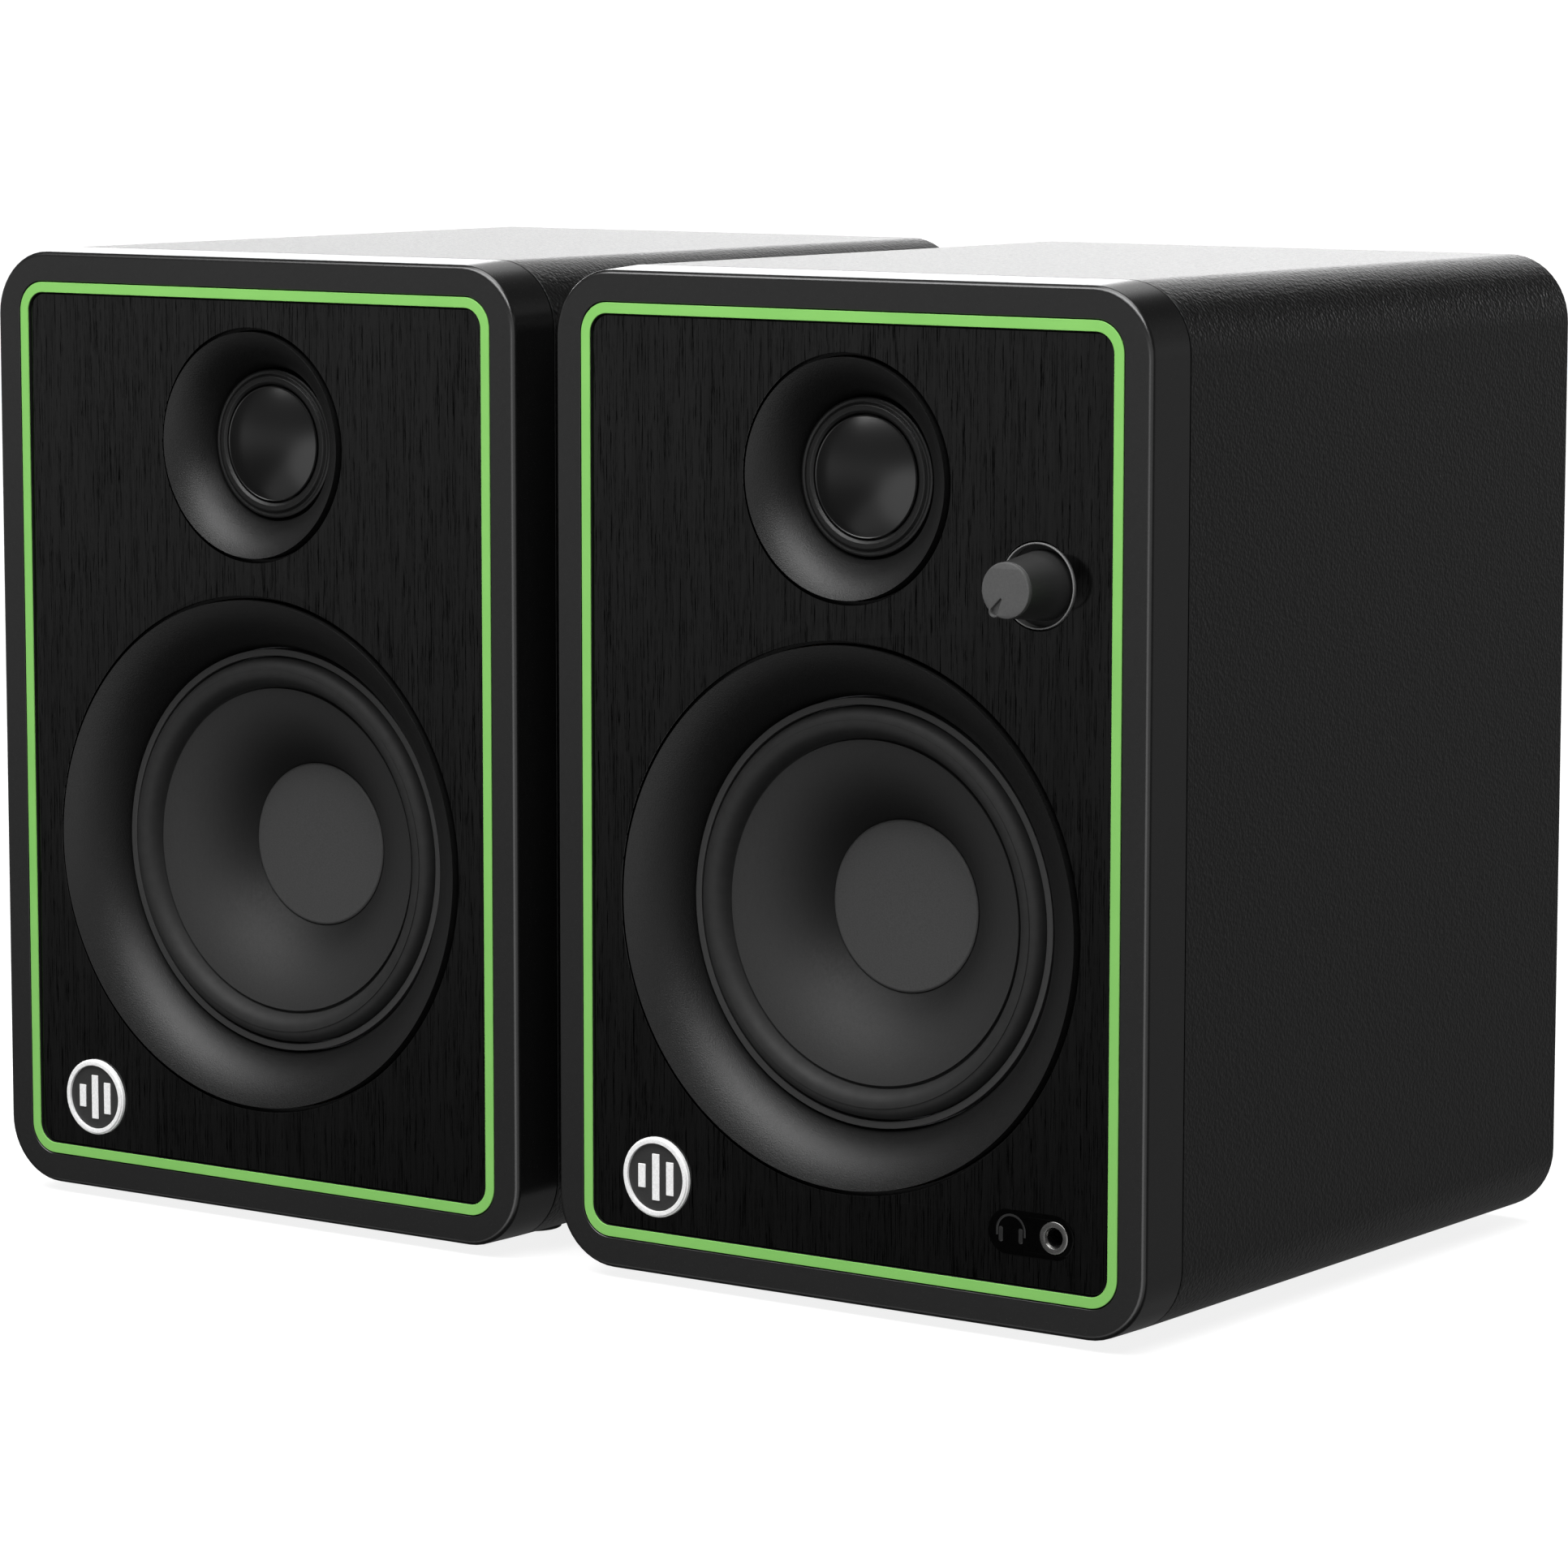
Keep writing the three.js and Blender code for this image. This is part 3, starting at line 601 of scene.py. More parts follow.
def through_outlines(name, side, stations):
    """A closed ring through rounded rectangles, each (half width, half height, radius, rise, depth)."""
    vertices, rings = [], []
    for *size, rise, depth in stations:
        start = len(vertices)
        loop = outline(*size)
        vertices.extend((x, depth, z + rise) for x, z in loop)
        rings.append(range(start, start + len(loop)))
    return mesh_piece(name, side, vertices, join_rings(rings, True))


def band(name, side, outer, inner, profile, rise=0.0):
    """A closed profile swept round a rounded rectangle. Across, 0 is the outer outline and the
    full width is the inner one."""
    width = outer[0] - inner[0]
    stations = []
    for across, depth in profile:
        share = across / width
        size = [a + (b - a) * share for a, b in zip(outer, inner)]
        stations.append((*size, rise, depth))
    return through_outlines(name, side, stations)


def sheet_with_holes(name, side, edge, holes, front, back, round_edge=0.12):
    """A flat sheet between two depths with softened edges, from outlines in (x, z)."""
    curve = bpy.data.curves.new(name, "CURVE")
    curve.dimensions = "2D"
    curve.fill_mode = "BOTH"
    for loop in [edge, *holes]:
        spline = curve.splines.new("POLY")
        spline.points.add(len(loop) - 1)
        for point, (x, z) in zip(spline.points, loop):
            point.co = (x * MM, z * MM, 0, 1)
        spline.use_cyclic_u = True
    curve.extrude = ((back - front) / 2 - round_edge) * MM
    curve.bevel_depth = round_edge * MM
    curve.bevel_resolution = 1
    curve.offset = -round_edge * MM
    drawn = bpy.data.objects.new(name, curve)
    mesh = bpy.data.meshes.new_from_object(drawn)
    bpy.data.objects.remove(drawn)
    upright = Matrix.Rotation(math.pi / 2, 4, "X")
    middle = Vector((0, (front + back) / 2, 0)) * MM
    mesh.transform(Matrix.Translation(side["origin"] + middle) @ upright)
    work = bmesh.new()
    work.from_mesh(mesh)
    bmesh.ops.remove_doubles(work, verts=work.verts, dist=1e-6)
    bmesh.ops.recalc_face_normals(work, faces=work.faces)
    work.to_mesh(mesh)
    work.free()
    piece = add_object(name, mesh)
    shade(piece)
    return piece


def block(name, side, centre, size, front, back, round_edge=0.4):
    """A box with rounded edges; centre and size are in x and z."""
    half = (size[0] / 2, (back - front) / 2, size[1] / 2)
    middle = side["origin"] + Vector((centre[0], (front + back) / 2, centre[1])) * MM
    mesh = bpy.data.meshes.new(name)
    work = bmesh.new()
    bmesh.ops.create_cube(work, size=2.0)
    for vertex in work.verts:
        vertex.co = middle + Vector([a * b for a, b in zip(vertex.co, half)]) * MM
    bmesh.ops.bevel(work, geom=work.edges[:], offset=round_edge * MM, segments=3, profile=0.5,
                    affect="EDGES", clamp_overlap=True)
    work.to_mesh(mesh)
    work.free()
    piece = add_object(name, mesh)
    shade(piece)
    return piece


def apply_modifiers(piece):
    bpy.context.view_layer.update()
    graph = bpy.context.evaluated_depsgraph_get()
    mesh = bpy.data.meshes.new_from_object(piece.evaluated_get(graph))
    piece.modifiers.clear()
    piece.data = mesh
    shade(piece)


def combine(piece, tool, operation):
    """Joins tool to piece, or cuts it out, and removes tool."""
    modifier = piece.modifiers.new("boolean", "BOOLEAN")
    modifier.operation = operation
    modifier.solver = "EXACT"
    modifier.object = tool
    apply_modifiers(piece)
    bpy.data.objects.remove(tool)
    return piece


def merge(pieces):
    """One object from several that don't touch."""
    first = pieces[0]
    work = bmesh.new()
    for piece in pieces:
        work.from_mesh(piece.data)
    work.to_mesh(first.data)
    work.free()
    for piece in pieces[1:]:
        bpy.data.objects.remove(piece)
    shade(first)
    return first


def install(piece, material, slot, body, *nodes):
    """Gives a piece its material, the body that it rides on and the nodes that it replaces. The slot is not
    used.
    """
    piece.data.materials.clear()
    piece.data.materials.append(material)
    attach(piece, body)
    if nodes:
        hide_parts(*nodes)
    return piece


# Box and front -------------------------------------------------------------------------------

def make_box(side, looks):
    name, body = side["name"], side["body"]
    width = BOX[0] - SLEEVE_INSIDE[0]
    front = BEZEL_DEPTH + SEAM
    profile = [(0, front, 0.12), (0, DEPTH, 1.0), (width, DEPTH, 0.6), (width, front, 0.3)]
    sleeve = band(f"{name}_sleeve", side, BOX, SLEEVE_INSIDE, soften(profile, True), BOX_RISE)
    install(sleeve, looks["vinyl"], "cabinet_vinyl", body, f"{name}_cabinet")

    bezel = through_outlines(f"{name}_bezel", side, bezel_stations())
    install(bezel, looks["bezel"], "bezel_plastic", body, f"{name}_front_bezel")

    holes = [circle(WOOFER, 60.1), circle(TWEETER, 26.6)]
    plate_holes = [circle(WOOFER, 60.85, 160), circle(TWEETER, 27.3)]
    if side["active"]:
        holes += [circle(KNOB, 3.6, 32), circle(JACK, 3.9, 32)]
        plate_holes += [circle(KNOB, 9.6), circle(JACK, 3.9, 48)]
    wall = sheet_with_holes(f"{name}_fascia_wall", side, outline(*WALL), holes, WALL_FRONT, WALL_BACK)
    install(wall, looks["inner"], "bezel_plastic", body)

    plate = sheet_with_holes(f"{name}_plate", side, outline(*PLATE), plate_holes, PLATE_FRONT, PLATE_BACK)
    install(plate, looks["plate"], "brushed_plate", body, f"{name}_front_plate")

    inner = tuple(a - TRIM_BAND for a in TRIM)
    profile = [(0, STRIP), (0, 0, 0.12), (TRIM_BAND, 0, 0.12), (TRIM_BAND, STRIP)]
    trim = band(f"{name}_trim", side, TRIM, inner, soften(profile, True))
    install(trim, looks["green"], "green_trim", body, f"{name}_trim_band")
    profile = [(0, PLATE_BACK), (0, STRIP), (TRIM_BAND, STRIP), (TRIM_BAND, PLATE_BACK)]
    rib = band(f"{name}_trim_rib", side, TRIM, inner, profile)
    install(rib, looks["inner"], "bezel_plastic", body)


def bezel_stations():
    """Outlines with their rise and depth: the pocket, the rounded front edge and the flared sides."""
    opening = [a + 0.08 for a in POCKET]
    stations = [(*POCKET, 0.0, BEZEL_DEPTH), (*POCKET, 0.0, 0.08), (*opening, 0.0, 0.0)]
    for k in range(9):
        angle = math.pi / 2 * k / 8
        inset = BEZEL_ROUND * (1 - math.sin(angle))
        stations.append((*(a - inset for a in FACE), 0.0, BEZEL_ROUND * (1 - math.cos(angle))))
    lip = 0.12
    for share in (0.25, 0.5, 0.75, 0.99):
        size = [a + (b - a) * share for a, b in zip(FACE, BOX)]
        stations.append((*size, BOX_RISE * share, BEZEL_ROUND + (BEZEL_DEPTH - BEZEL_ROUND) * share))
    stations.append((*(a - lip for a in BOX), BOX_RISE, BEZEL_DEPTH))
    return stations


def make_badge(side, looks):
    """A ring round a dark disc with three plain bars, each given as (x, height)."""
    name, body = side["name"], side["body"]
    profile = [(7.7, 0.4), (7.7, -0.3, 0.12), (8.7, -0.3, 0.12), (8.8, 0.0, 0.1),
               (9.1, 0.05, 0.15), (9.1, 1.2, 0.1), (7.7, 1.2)]
    rim = lathe(f"{name}_badge_rim", side, BADGE, soften(profile, True), closed=True)
    install(rim, looks["silver"], "badge_metal", body, f"{name}_badge")
    disc = lathe(f"{name}_badge_disc", side, BADGE, [(0, 0.3), (7.65, 0.3), (7.65, 1.1), (0, 1.1)])
    install(disc, looks["badge_dark"], "gloss_label", body)
    bars = []
    for x, height in BADGE_BARS:
        centre = (BADGE[0] + x, BADGE[1])
        bars.append(block(f"{name}_badge_bar", side, centre, (2.0, height), -0.02, 0.32, 0.14))
    install(merge(bars), looks["silver"], "badge_metal", body)


def make_feet(side, looks):
    for end in ("front", "rear"):
        for hand in ("left", "right"):
            node = f"{side['name']}_foot_{end}_{hand}"
            low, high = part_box(node)
            middle = (low + high) / 2
            radius = (high.x - low.x) / 2
            profile = [(0, high.z), (radius, high.z, 0.2 * MM), (radius, low.z, 0.6 * MM), (0, low.z)]
            foot = upright_lathe(f"{node}_pad", middle, soften(profile))
            install(foot, looks["rubber"], "soft_rubber", side["body"], node)


def upright_lathe(name, middle, profile, turns=48):
    """Turns a profile of (radius, height), in metres, round a vertical axis."""
    vertices, rings = [], []
    for radius, height in profile:
        start = len(vertices)
        steps = 1 if radius < 1e-9 else turns
        for k in range(steps):
            angle = 2 * math.pi * k / turns
            x = middle.x + radius * math.cos(angle)
            y = middle.y + radius * math.sin(angle)
            vertices.append((x, y, height))
        rings.append(range(start, start + steps))
    scaled = [Vector(v) / MM for v in vertices]
    return mesh_piece(name, AT_ORIGIN, scaled, join_rings(rings, False))


# Drivers -------------------------------------------------------------------------------------

def make_tweeter(side, looks):
    name, body = side["name"], side["body"]
    flare = bezier((26.25, 0.0), (19.4, 3.2), (17.4, 11.6), 24)
    profile = flare + [(17.5, 12.0), (26.3, 12.0), (26.3, 0.15)]
    guide = lathe(f"{name}_tweeter_flare", side, TWEETER, profile, closed=True)
    install(guide, looks["satin"], "satin_plastic", body, f"{name}_tweeter_waveguide")

    profile = [(13.7, 9.4), (13.9, 8.5, 0.2), (14.5, 8.0, 0.4), (15.6, 8.0, 0.5), (16.3, 8.8, 0.4),
               (16.9, 8.6, 0.3), (17.35, 8.8, 0.2), (17.35, 11.5), (13.7, 11.5)]
    clamp = lathe(f"{name}_tweeter_clamp", side, TWEETER, soften(profile, True), closed=True)
    install(clamp, looks["satin"], "satin_plastic", body, f"{name}_tweeter_ring")

    radius, height, base = 13.1, 2.6, 8.4
    sphere = (radius ** 2 + height ** 2) / (2 * height)
    dome = []
    for k in range(21):
        r = radius * k / 20
        dome.append((r, base - height + sphere - math.sqrt(sphere ** 2 - r ** 2)))
    edge = [(13.3, 8.3), (13.45, 8.5), (13.4, 8.9), (12.7, 8.9), (12.7, 17.5), (12.3, 17.5), (12.3, 8.9)]
    inside = [(r, y + 0.35) for r, y in reversed(dome[:-2])]
    piece = lathe(f"{name}_dome", side, TWEETER, dome + edge + inside)
    install(piece, looks["silk"], "silk", f"{name}_tweeter", f"{name}_tweeter_dome")


def make_woofer(side, looks):
    name, body = side["name"], side["body"]
    moving = f"{name}_woofer"
    flare = bezier((59.75, 0.0), (50.5, 3.6), (47.8, 12.6), 32)
    profile = flare + [(47.8, 13.4), (59.8, 13.4), (59.8, 0.15)]
    collar = lathe(f"{name}_woofer_flare", side, WOOFER, profile, closed=True, turns=192)
    install(collar, looks["satin"], "satin_plastic", body, f"{name}_woofer_trim_ring")

    profile = [(45.95, 13.4), (45.95, 10.7, 0.3), (47.6, 10.7, 0.2), (47.6, 13.4)]
    gasket = lathe(f"{name}_woofer_gasket", side, WOOFER, soften(profile, True), closed=True)
    install(gasket, looks["gasket"], "soft_rubber", body)

    outer = bezier((45.75, 12.2), (45.3, 8.9), (42.9, 8.75), 12)
    inner = bezier((42.8, 8.55), (39.9, 8.3), (38.9, 12.0), 12)
    rear = arc((42.35, 12.0), (2.9, -2.6), 180, 0, 14)
    glue_lip = [(38.6, 12.4), (37.4, 12.9), (37.4, 13.3), (39.4, 13.1)]
    profile = [(45.75, 12.9)] + outer + inner + glue_lip + rear + [(45.3, 13.1)]
    roll = lathe(f"{name}_surround", side, WOOFER, profile, closed=True)
    roll.data.materials.append(looks["rubber"])
    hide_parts(f"{name}_woofer_surround")
    flex_surround(roll)

    face = bezier((38.2, 11.5), (22.0, 15.5), (13.6, 35), 28)
    coil_tube = [(12.6, 37.0), (12.6, 57.5), (13.1, 57.5), (13.1, 36.8)]
    back = bezier((14.1, 35.7), (22.4, 16.6), (38.2, 12.3), 16)
    profile = face + coil_tube + back + [(38.3, 11.9)]
    cone = lathe(f"{name}_cone", side, WOOFER, profile, closed=True, sharp=50.0)
    install(cone, looks["cone"], "cone_paper", moving, f"{name}_woofer_cone")

    profile = [(0, 23.75), (18.9, 24.05, 2.0), (19.3, 24.35, 0.2), (19.25, 25.2),
               (18.4, 25.2), (18.0, 24.5), (0, 24.4)]
    cap = lathe(f"{name}_dust_cap", side, WOOFER, soften(profile))
    install(cap, looks["cap"], "cap_paper", moving, f"{name}_woofer_dust_cap")


def flex_surround(roll):
    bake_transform(roll)


# Controls ------------------------------------------------------------------------------------

def clock_point(centre, radius, clock):
    angle = math.radians(clock)
    return (centre[0] + radius * math.sin(angle), centre[1] + radius * math.cos(angle))


def make_knob(side, looks):
    body = "volume_control"
    profile = [(0, -10.5), (5.7, -10.5), (5.95, -10.4, 0.15), (7.6, 2.7, 0.2),
               (7.3, 2.9), (3.3, 2.9), (3.3, -7), (0, -7)]
    stem = lathe("knob_stem", side, KNOB, soften(profile))
    install(stem, looks["knob_side"], "knob_plastic", body, "active_volume_knob")

    nub_centre = clock_point(KNOB, 5.3, POINTER_CLOCK)
    face = sheet_with_holes("knob_face", side, pointer_outline(nub_centre), [drop_outline(nub_centre)],
                            -KNOB_REACH, -10.3, 0.4)
    install(face, looks["knob_face"], "knob_plastic", body)
    floor = sheet_with_holes("knob_pointer", side, drop_outline(nub_centre, -0.05), [], -10.85, -10.4, 0.02)
    install(floor, looks["knob_face"], "knob_plastic", body)


def pointer_outline(nub_centre):
    """The knob's round face with a small round nub at its pointer."""
    radius, nub = 6.0, 1.42
    count = 220
    points = []
    for k in range(count):
        angle = 2 * math.pi * k / count
        direction = Vector((math.cos(angle), math.sin(angle)))
        offset = Vector(nub_centre) - Vector(KNOB)
        along = direction.dot(offset)
        across = offset.length_squared - along ** 2
        reach = radius
        if along > 0 and across < nub ** 2:
            reach = max(reach, along + math.sqrt(nub ** 2 - across))
        points.append((KNOB[0] + direction.x * reach, KNOB[1] + direction.y * reach))
    return points


def drop_outline(nub_centre, inset=0.0):
    """A drop whose round end lies in the nub and whose tip points to the knob's axis."""
    radius = 0.86 - inset
    inward = (Vector(KNOB) - Vector(nub_centre)).normalized()
    sideways = Vector((-inward.y, inward.x))
    tip_reach = 3.1 - inset
    points = []
    for k in range(41):
        angle = math.radians(-115 + 230 * k / 40)
        offset = -inward * math.cos(angle) + sideways * math.sin(angle)
        points.append(tuple(Vector(nub_centre) + offset * radius))
    tip = Vector(nub_centre) + inward * tip_reach
    points.append(tuple(tip + sideways * 0.12))
    points.append(tuple(tip - sideways * 0.12))
    return points


def make_controls(side, looks):
    body = side["body"]
    make_knob(side, looks)
    profile = soften([(8.92, 3.0), (8.92, 0.6, 0.08), (9.24, 0.6, 0.08), (9.24, 3.0)], True, 3)
    ring = lathe("light_ring", side, KNOB, profile, closed=True)
    install(ring, looks["light"], "light_pipe", body, "active_light_ring")

    half = ((JACK[0] - LABEL_LEFT) / 2 + 5, 5, 4.999)
    middle = ((JACK[0] + LABEL_LEFT) / 2, JACK[1])
    label = sheet_with_holes("headphone_label", side, moved(outline(*half, steps=24), middle),
                             [circle(JACK, 3.75)], 0.65, 1.0, 0.1)
    install(label, looks["gloss"], "gloss_label", body, "active_headphone_label")
    install(headphone_icon(side), looks["icon"], "gloss_label", body)

    profile = [(3.6, 6.0), (3.6, 0.4, 0.25), (2.35, 0.4, 0.1), (2.0, 1.0, 0.1),
               (1.8, 1.5), (1.8, 12.0), (3.2, 12.0), (3.2, 6.0)]
    collar = lathe("jack_collar", side, JACK, soften(profile, True), closed=True, turns=96)
    install(collar, looks["nickel"], "nickel", body, "active_headphone_jack")
    plug_end = lathe("jack_end", side, JACK, [(0, 11.0), (1.75, 11.0), (1.75, 12.0), (0, 12.0)], turns=48)
    install(plug_end, looks["inner"], "socket_plastic", body)


def headphone_icon(side):
    """A headband with two ear pads, a hair proud of the label."""
    centre = (43.8, JACK[1] + 0.2)
    outer, inner = 3.8, 3.3
    leg = -1.1
    headband = [(outer, leg)] + arc((0, 0), (outer, outer), 0, 180, 32) + [(-outer, leg)]
    headband += [(-inner, leg)] + arc((0, 0), (inner, inner), 180, 0, 32) + [(inner, leg)]
    shapes = [moved(headband, centre)]
    for x in (-2.55, 2.55):
        pad = outline(0.52, 1.65, 0.4, steps=6)
        shapes.append(moved(pad, (centre[0] + x, centre[1] - 0.85)))
    pieces = [sheet_with_holes("headphone_icon", side, shape, [], 0.6, 0.7, 0.02) for shape in shapes]
    return merge(pieces)


# Back ----------------------------------------------------------------------------------------

def screw(side, centre, face, radius=3.0):
    """A pan-head screw with a cross recess."""
    profile = [(0, face + 1.6), (radius * 0.55, face + 1.55, 1.0), (radius, face + 0.7, 0.4),
               (radius, face - 0.3), (0, face - 0.3)]
    head = lathe("screw", side, centre, soften(profile), turns=40)
    for size in ((radius * 1.05, 0.75), (0.75, radius * 1.05)):
        slot_cutter = block("cutter", side, centre, size, face + 0.7, face + 3, 0.05)
        combine(head, slot_cutter, "DIFFERENCE")
    return head


def screws(name, side, centres, face, looks, radius=3.0):
    heads = [screw(side, centre, face, radius) for centre in centres]
    piece = merge(heads)
    piece.name = name
    install(piece, looks["screw"], "pressed_steel", side["body"])


def corners(centre, half_width, half_height):
    signs = ((-1, -1), (-1, 1), (1, -1), (1, 1))
    return [(centre[0] + sx * half_width, centre[1] + sz * half_height) for sx, sz in signs]


def make_port(side, looks):
    name = side["name"]
    mouth = arc((23.5, REAR_FACE - 3.5), (6.0, 6.0), 90, 180, 16)
    profile = [(20.0, 112.0), (20.0, REAR_FACE), (27.0, REAR_FACE), (27.0, REAR_FACE + 1.6),
               (26.2, REAR_FACE + 2.5)]
    profile += mouth + [(17.5, 112.0)]
    tube = lathe(f"{name}_port", side, PORT, profile, closed=True)
    install(tube, looks["socket"], "socket_plastic", side["body"], f"{name}_port_tube")


def make_back(side, looks):
    name, body = side["name"], side["body"]
    if side["active"]:
        window = moved(outline(50, 52, 3), AMP)
    else:
        window = moved(outline(26.4, 17.4, 1), TERMINAL)
    panel = sheet_with_holes(f"{name}_back", side, moved(outline(69.6, 103.3, 4.7), (0, BOX_RISE)),
                             [circle(PORT, 20.8), window], BACK_INNER, BACK_OUTER, 0.3)
    install(panel, looks["vinyl"], "cabinet_vinyl", body, f"{name}_back_panel")
    make_port(side, looks)
    places = corners((0, BOX_RISE), 63.5, 97.0) + [(-63.5, 0), (63.5, 0)]
    screws(f"{name}_back_screws", side, places, BACK_OUTER, looks)
    if side["active"]:
        make_amp(side, looks)
    else:
        make_terminals(side, looks)


def make_amp(side, looks):
    body = side["body"]
    face = REAR_FACE + 2.0
    holes = [circle((x, SOCKET_Z), 4.6, 48) for x in SOCKET_XS]
    holes.append(moved(outline(12.0, 7.0, 0.8), INLET))
    edge = moved(outline(*AMP_HALF), AMP)
    plate = sheet_with_holes("amp_plate", side, edge, holes, REAR_FACE, face, 0.25)
    install(plate, looks["amp"], "amp_aluminium", body, "active_amp_plate")
    fins = []
    for x in range(-40, 41, 10):
        fins.append(block("fin", side, (x, -8.0), (3.0, 50.0), face - 0.4, DEPTH + 6.0, 0.6))
    ribs = merge(fins)
    ribs.name = "amp_fins"
    install(ribs, looks["amp"], "amp_aluminium", body)
    screws("amp_screws", side, corners(AMP, 53.0, 55.0), face, looks)
    make_phono_sockets(side, looks, face)
    make_inlet(side, looks, face)


def make_phono_sockets(side, looks, face):
    body = side["body"]
    inserts = (("red", "red_plastic"), ("white", "socket_plastic"), ("black", "socket_plastic"))
    for x, (colour, slot_name) in zip(SOCKET_XS, inserts):
        centre = (x, SOCKET_Z)
        profile = [(2.9, 174.0), (2.9, SOCKET_END, 0.2), (4.15, SOCKET_END, 0.3), (4.15, 174.0)]
        barrel = lathe(f"phono_barrel_{colour}", side, centre, soften(profile, True), closed=True, turns=64)
        replaced = ["active_line_sockets"] if colour == "red" else []
        install(barrel, looks["nickel"], "nickel", body, *replaced)
        end = SOCKET_END - 0.6
        profile = [(1.7, 179.0), (1.7, end, 0.1), (2.8, end, 0.1), (2.8, 179.0)]
        core = lathe(f"phono_core_{colour}", side, centre, soften(profile, True), closed=True, turns=48)
        install(core, looks[colour], slot_name, body)
        profile = [(4.3, face + 0.1), (4.3, face + 1.0, 0.1), (6.6, face + 1.0, 0.3), (6.6, face + 0.1)]
        profile = soften(profile, True)
        washer = lathe(f"phono_washer_{colour}", side, centre, profile, closed=True, turns=64)
        install(washer, looks[colour], slot_name, body)


def make_inlet(side, looks, face):
    """A two-pin mains inlet: a collar, the deep body, its floor and the two pins."""
    body = side["body"]
    recess = moved(outline(8.2, 4.4, 4.3, 16), INLET)
    collar = sheet_with_holes("inlet_collar", side, moved(outline(15.0, 9.0, 2.0), INLET), [recess],
                              face + 0.2, face + 2.2, 0.4)
    install(collar, looks["socket"], "socket_plastic", body, "active_mains_inlet")
    edge = moved(outline(11.7, 6.7, 1.0), INLET)
    well = sheet_with_holes("inlet_body", side, edge, [recess], 171.1, face + 0.3, 0.05)
    install(well, looks["socket"], "socket_plastic", body)
    floor = sheet_with_holes("inlet_floor", side, edge, [], 168.6, 171.1, 0.05)
    install(floor, looks["socket"], "socket_plastic", body)
    pins = []
    for x in (-4.3, 4.3):
        profile = soften([(0, 179.7), (1.15, 179.7, 0.5), (1.15, 170.9), (0, 170.9)])
        pins.append(lathe("inlet_pin", side, (INLET[0] + x, INLET[1]), profile, turns=32))
    install(merge(pins), looks["nickel"], "nickel", body)


def make_terminals(side, looks):
    body = side["body"]
    face = REAR_FACE + 2.0
    pocket = moved(outline(24.0, 15.0, 1.0), TERMINAL)
    rim = moved(outline(32.0, 23.0, 3.0), TERMINAL)
    flange = sheet_with_holes("terminal_flange", side, rim, [pocket], REAR_FACE, face, 0.3)
    install(flange, looks["socket"], "socket_plastic", body, "passive_terminal_cup")
    edge = moved(outline(26.0, 17.0, 1.2), TERMINAL)
    walls = sheet_with_holes("terminal_walls", side, edge, [pocket],
                             REAR_FACE - 10.1, REAR_FACE + 0.3, 0.05)
    install(walls, looks["socket"], "socket_plastic", body)
    floor = sheet_with_holes("terminal_floor", side, edge, [], REAR_FACE - 12.0, REAR_FACE - 10.0, 0.05)
    install(floor, looks["socket"], "socket_plastic", body)
    step_z = TERMINAL[1] - 13.0
    step = sheet_with_holes("terminal_step", side, moved(outline(22.0, 2.5, 0.5), (0, step_z)),
                            [circle((x, step_z), 1.4, 24) for x in (-11, 11)],
                            REAR_FACE - 10.3, REAR_FACE - 2.3, 0.2)
    install(step, looks["socket"], "socket_plastic", body)
    screws("terminal_screws", side, corners(TERMINAL, 28.6, 19.4), face, looks, 2.2)
    for colour, x, slot_name in (("red", 11.0, "red_plastic"), ("black", -11.0, "socket_plastic")):
        node = f"passive_clip_lever_{colour}"
        install(clip_lever(side, colour, x), looks[colour], slot_name, f"{colour}_clip", node)


def clip_lever(side, colour, x):
    """A paddle with a finger dish across its upper end, on a round hub."""
    paddle = block("paddle", AT_ORIGIN, (0, 8.5), (12.0, 17.0), -1.5, 1.5, 0.5)
    dish = block("dish", AT_ORIGIN, (0, 12.5), (9.0, 5.5), 0.7, 3.0, 0.6)
    combine(paddle, dish, "DIFFERENCE")
    hub = bpy.data.meshes.new("hub")
    work = bmesh.new()
    radius = 2 * MM
    bmesh.ops.create_cone(work, cap_ends=True, segments=32, radius1=radius, radius2=radius, depth=12 * MM)
    work.transform(Matrix.Rotation(math.pi / 2, 4, "Y"))
    work.to_mesh(hub)
    work.free()
    roller = add_object("hub", hub)
    combine(paddle, roller, "UNION")
    turn = Matrix.Rotation(math.radians(-LEVER_TILT), 4, "X")
    pivot = side["origin"] + Vector((x, REAR_FACE - 6.3, TERMINAL[1] - 7.0)) * MM
    paddle.data.transform(Matrix.Translation(pivot) @ turn)
    paddle.name = f"clip_paddle_{colour}"
    return paddle


# Inner pieces kept from the CAD ----------------------------------------------------------------

def dress_inner_nodes(looks):
    """Better materials on the CAD nodes that stay as they are."""
    dressing = {
        "baffle": "board",
        "tweeter_magnet": "ferrite",
        "woofer_magnet": "ferrite",
        "woofer_basket": "steel",
        "woofer_spider": "cloth",
        "volume_shaft": "steel",
        "volume_pot": "circuit",
        "amp_board": "circuit",
        "transformer": "steel",
    }
    for node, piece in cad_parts.items():
        part = node.split("_", 1)[1]
        if part in dressing:
            for slot_place in piece.material_slots:
                slot_place.material = looks[dressing[part]]


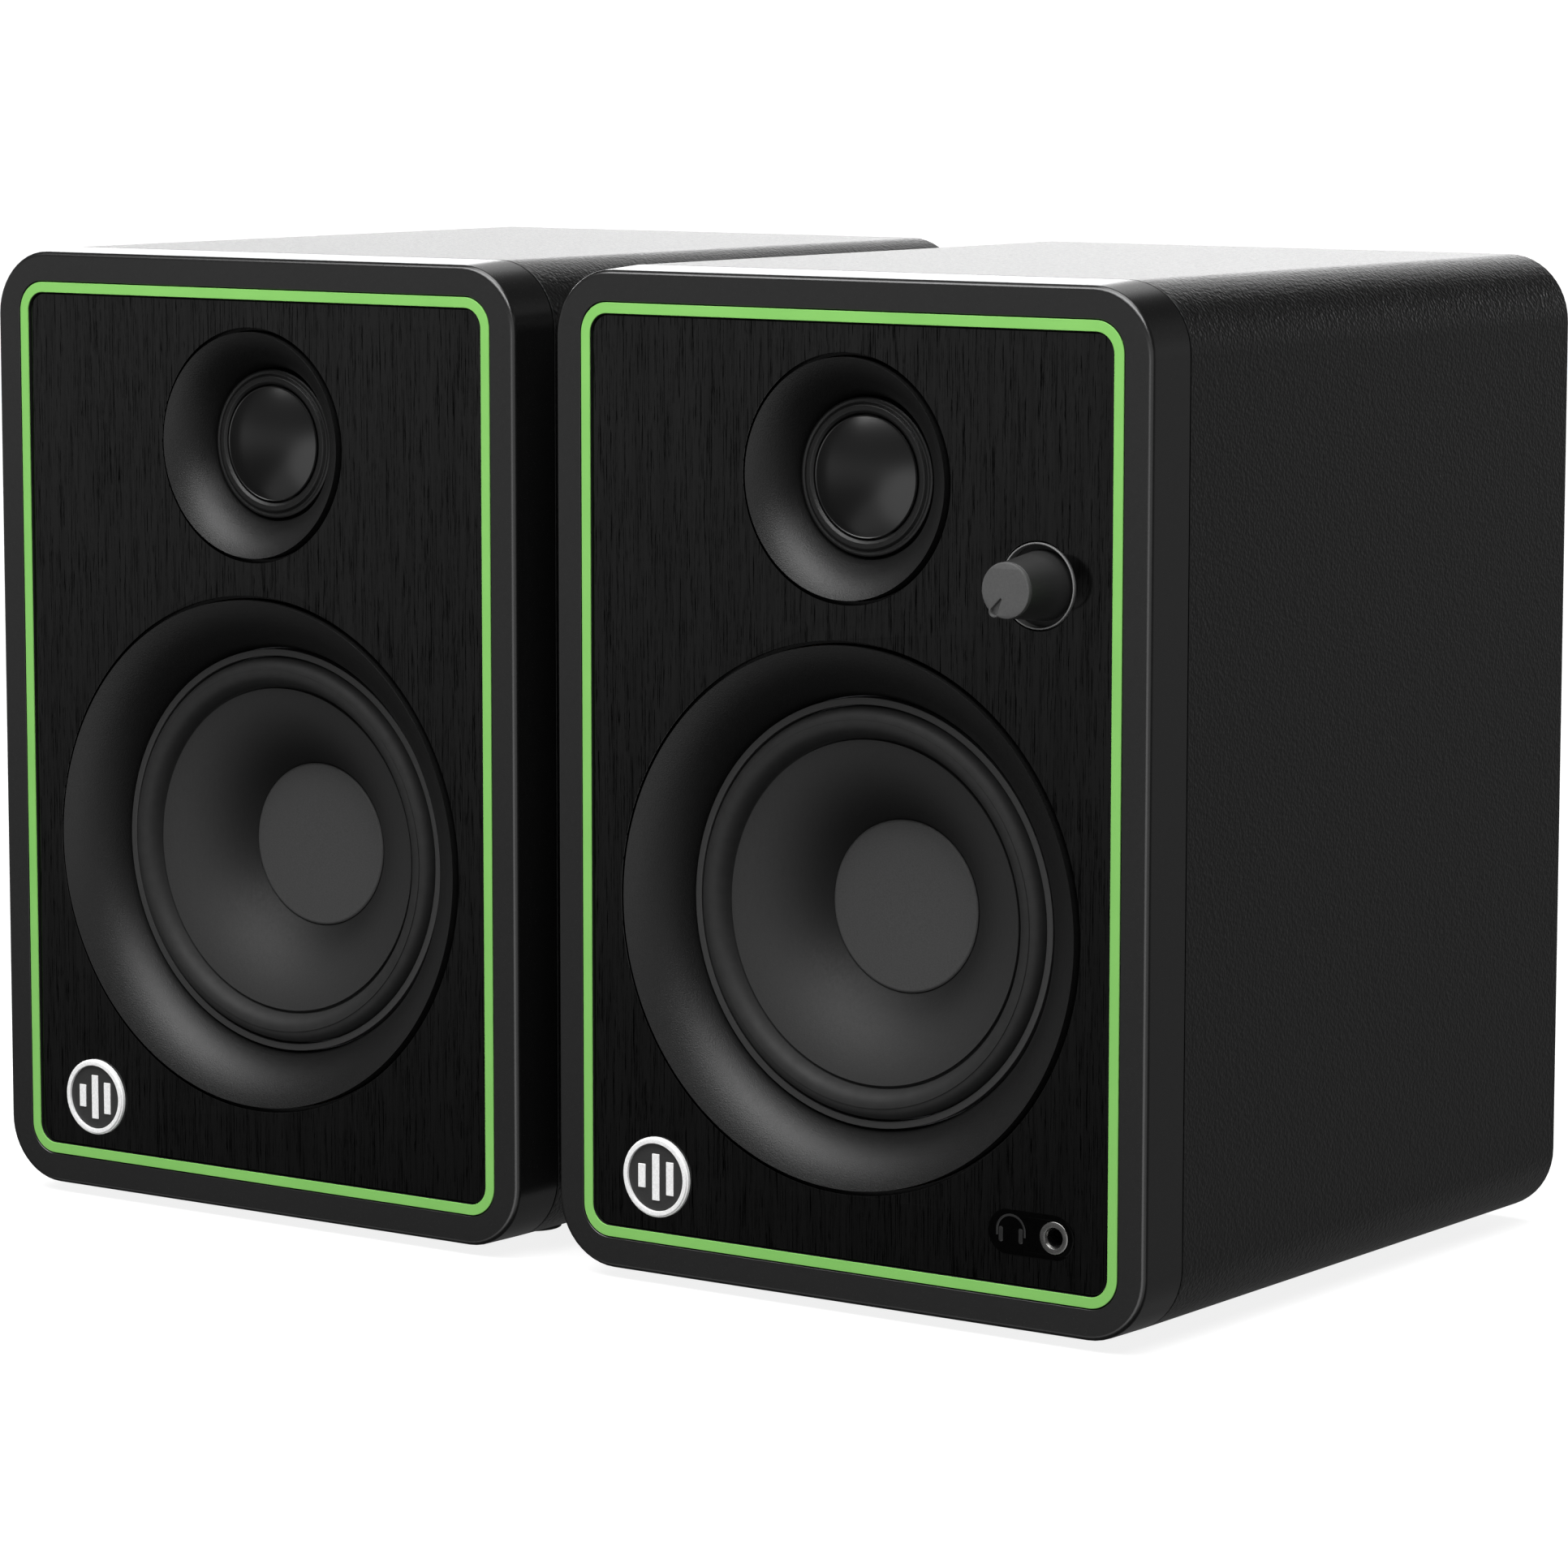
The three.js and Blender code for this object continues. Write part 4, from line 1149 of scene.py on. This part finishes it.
def make_looks():
    """One material of each kind, shared by all the pieces that have it."""
    return {
        "vinyl": vinyl(),
        "bezel": bezel_plastic(),
        "satin": satin_plastic(),
        "green": green_plastic(),
        "plate": brushed_plate(),
        "rubber": rubber(),
        "gasket": plastic("gasket_foam", grey(0.028), 0.6),
        # the cone's last number is how much of its colour stays deep inside, as painted shade
        "cone": paper("cone_paper", 0.0155, 0.62, 0.2),
        "cap": paper("cap_paper", 0.045, 0.6),
        "silk": silk(),
        "silver": plastic("badge_silver", grey(0.94), 0.3),
        "badge_dark": plastic("badge_dark", grey(0.03), 0.3),
        "nickel": metal("nickel", (0.26, 0.257, 0.252), 0.26),
        "steel": metal("plain_steel", (0.42, 0.43, 0.45), 0.4),
        "screw": metal("black_screw", (0.09, 0.09, 0.095), 0.35),
        "ferrite": plastic("ferrite", grey(0.04), 0.55),
        "knob_side": plastic("knob_side", grey(0.024), 0.36),
        "knob_face": plastic("knob_face", grey(0.077), 0.5),
        "light": plastic("light_pipe", grey(0.2), 0.35),
        "gloss": label_gloss(),
        "icon": plastic("icon_print", grey(0.012), 0.3),
        "inner": plastic("inner_black", grey(0.004), 0.6),
        "socket": plastic("socket_black", grey(0.01), 0.45),
        "amp": plastic("amp_black", grey(0.02), 0.42),
        "red": plastic("red_plastic", (0.42, 0.02, 0.02), 0.4),
        "white": plastic("white_plastic", grey(0.7), 0.4),
        "black": plastic("black_plastic", grey(0.012), 0.4),
        "circuit": plastic("circuit_green", (0.014, 0.1, 0.035), 0.4),
        "board": board(),
        "cloth": cloth(),
    }


def find_sides():
    """Each speaker's name, body and the middle of its front plane."""
    sides = {}
    for name in ("active", "passive"):
        low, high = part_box(f"{name}_trim_band")
        origin = Vector(((low.x + high.x) / 2, low.y, (low.z + high.z) / 2))
        body = f"{name}_speaker"
        sides[name] = {"name": name, "origin": origin, "body": body, "active": name == "active"}
    return sides


def main():
    sides = find_sides()
    make_camera(sides["active"]["origin"])
    make_stage()
    make_world()
    make_lamp("key", (0.05, -0.6, 0.95), (0.0, -0.1, 0.1), (1.7, 0.5), 15.0)
    looks = make_looks()
    for side in sides.values():
        make_box(side, looks)
        make_badge(side, looks)
        make_feet(side, looks)
        make_tweeter(side, looks)
        make_woofer(side, looks)
        make_back(side, looks)
    make_controls(sides["active"], looks)
    dress_inner_nodes(looks)
    bpy.context.scene.view_settings.view_transform = "Standard"


main()
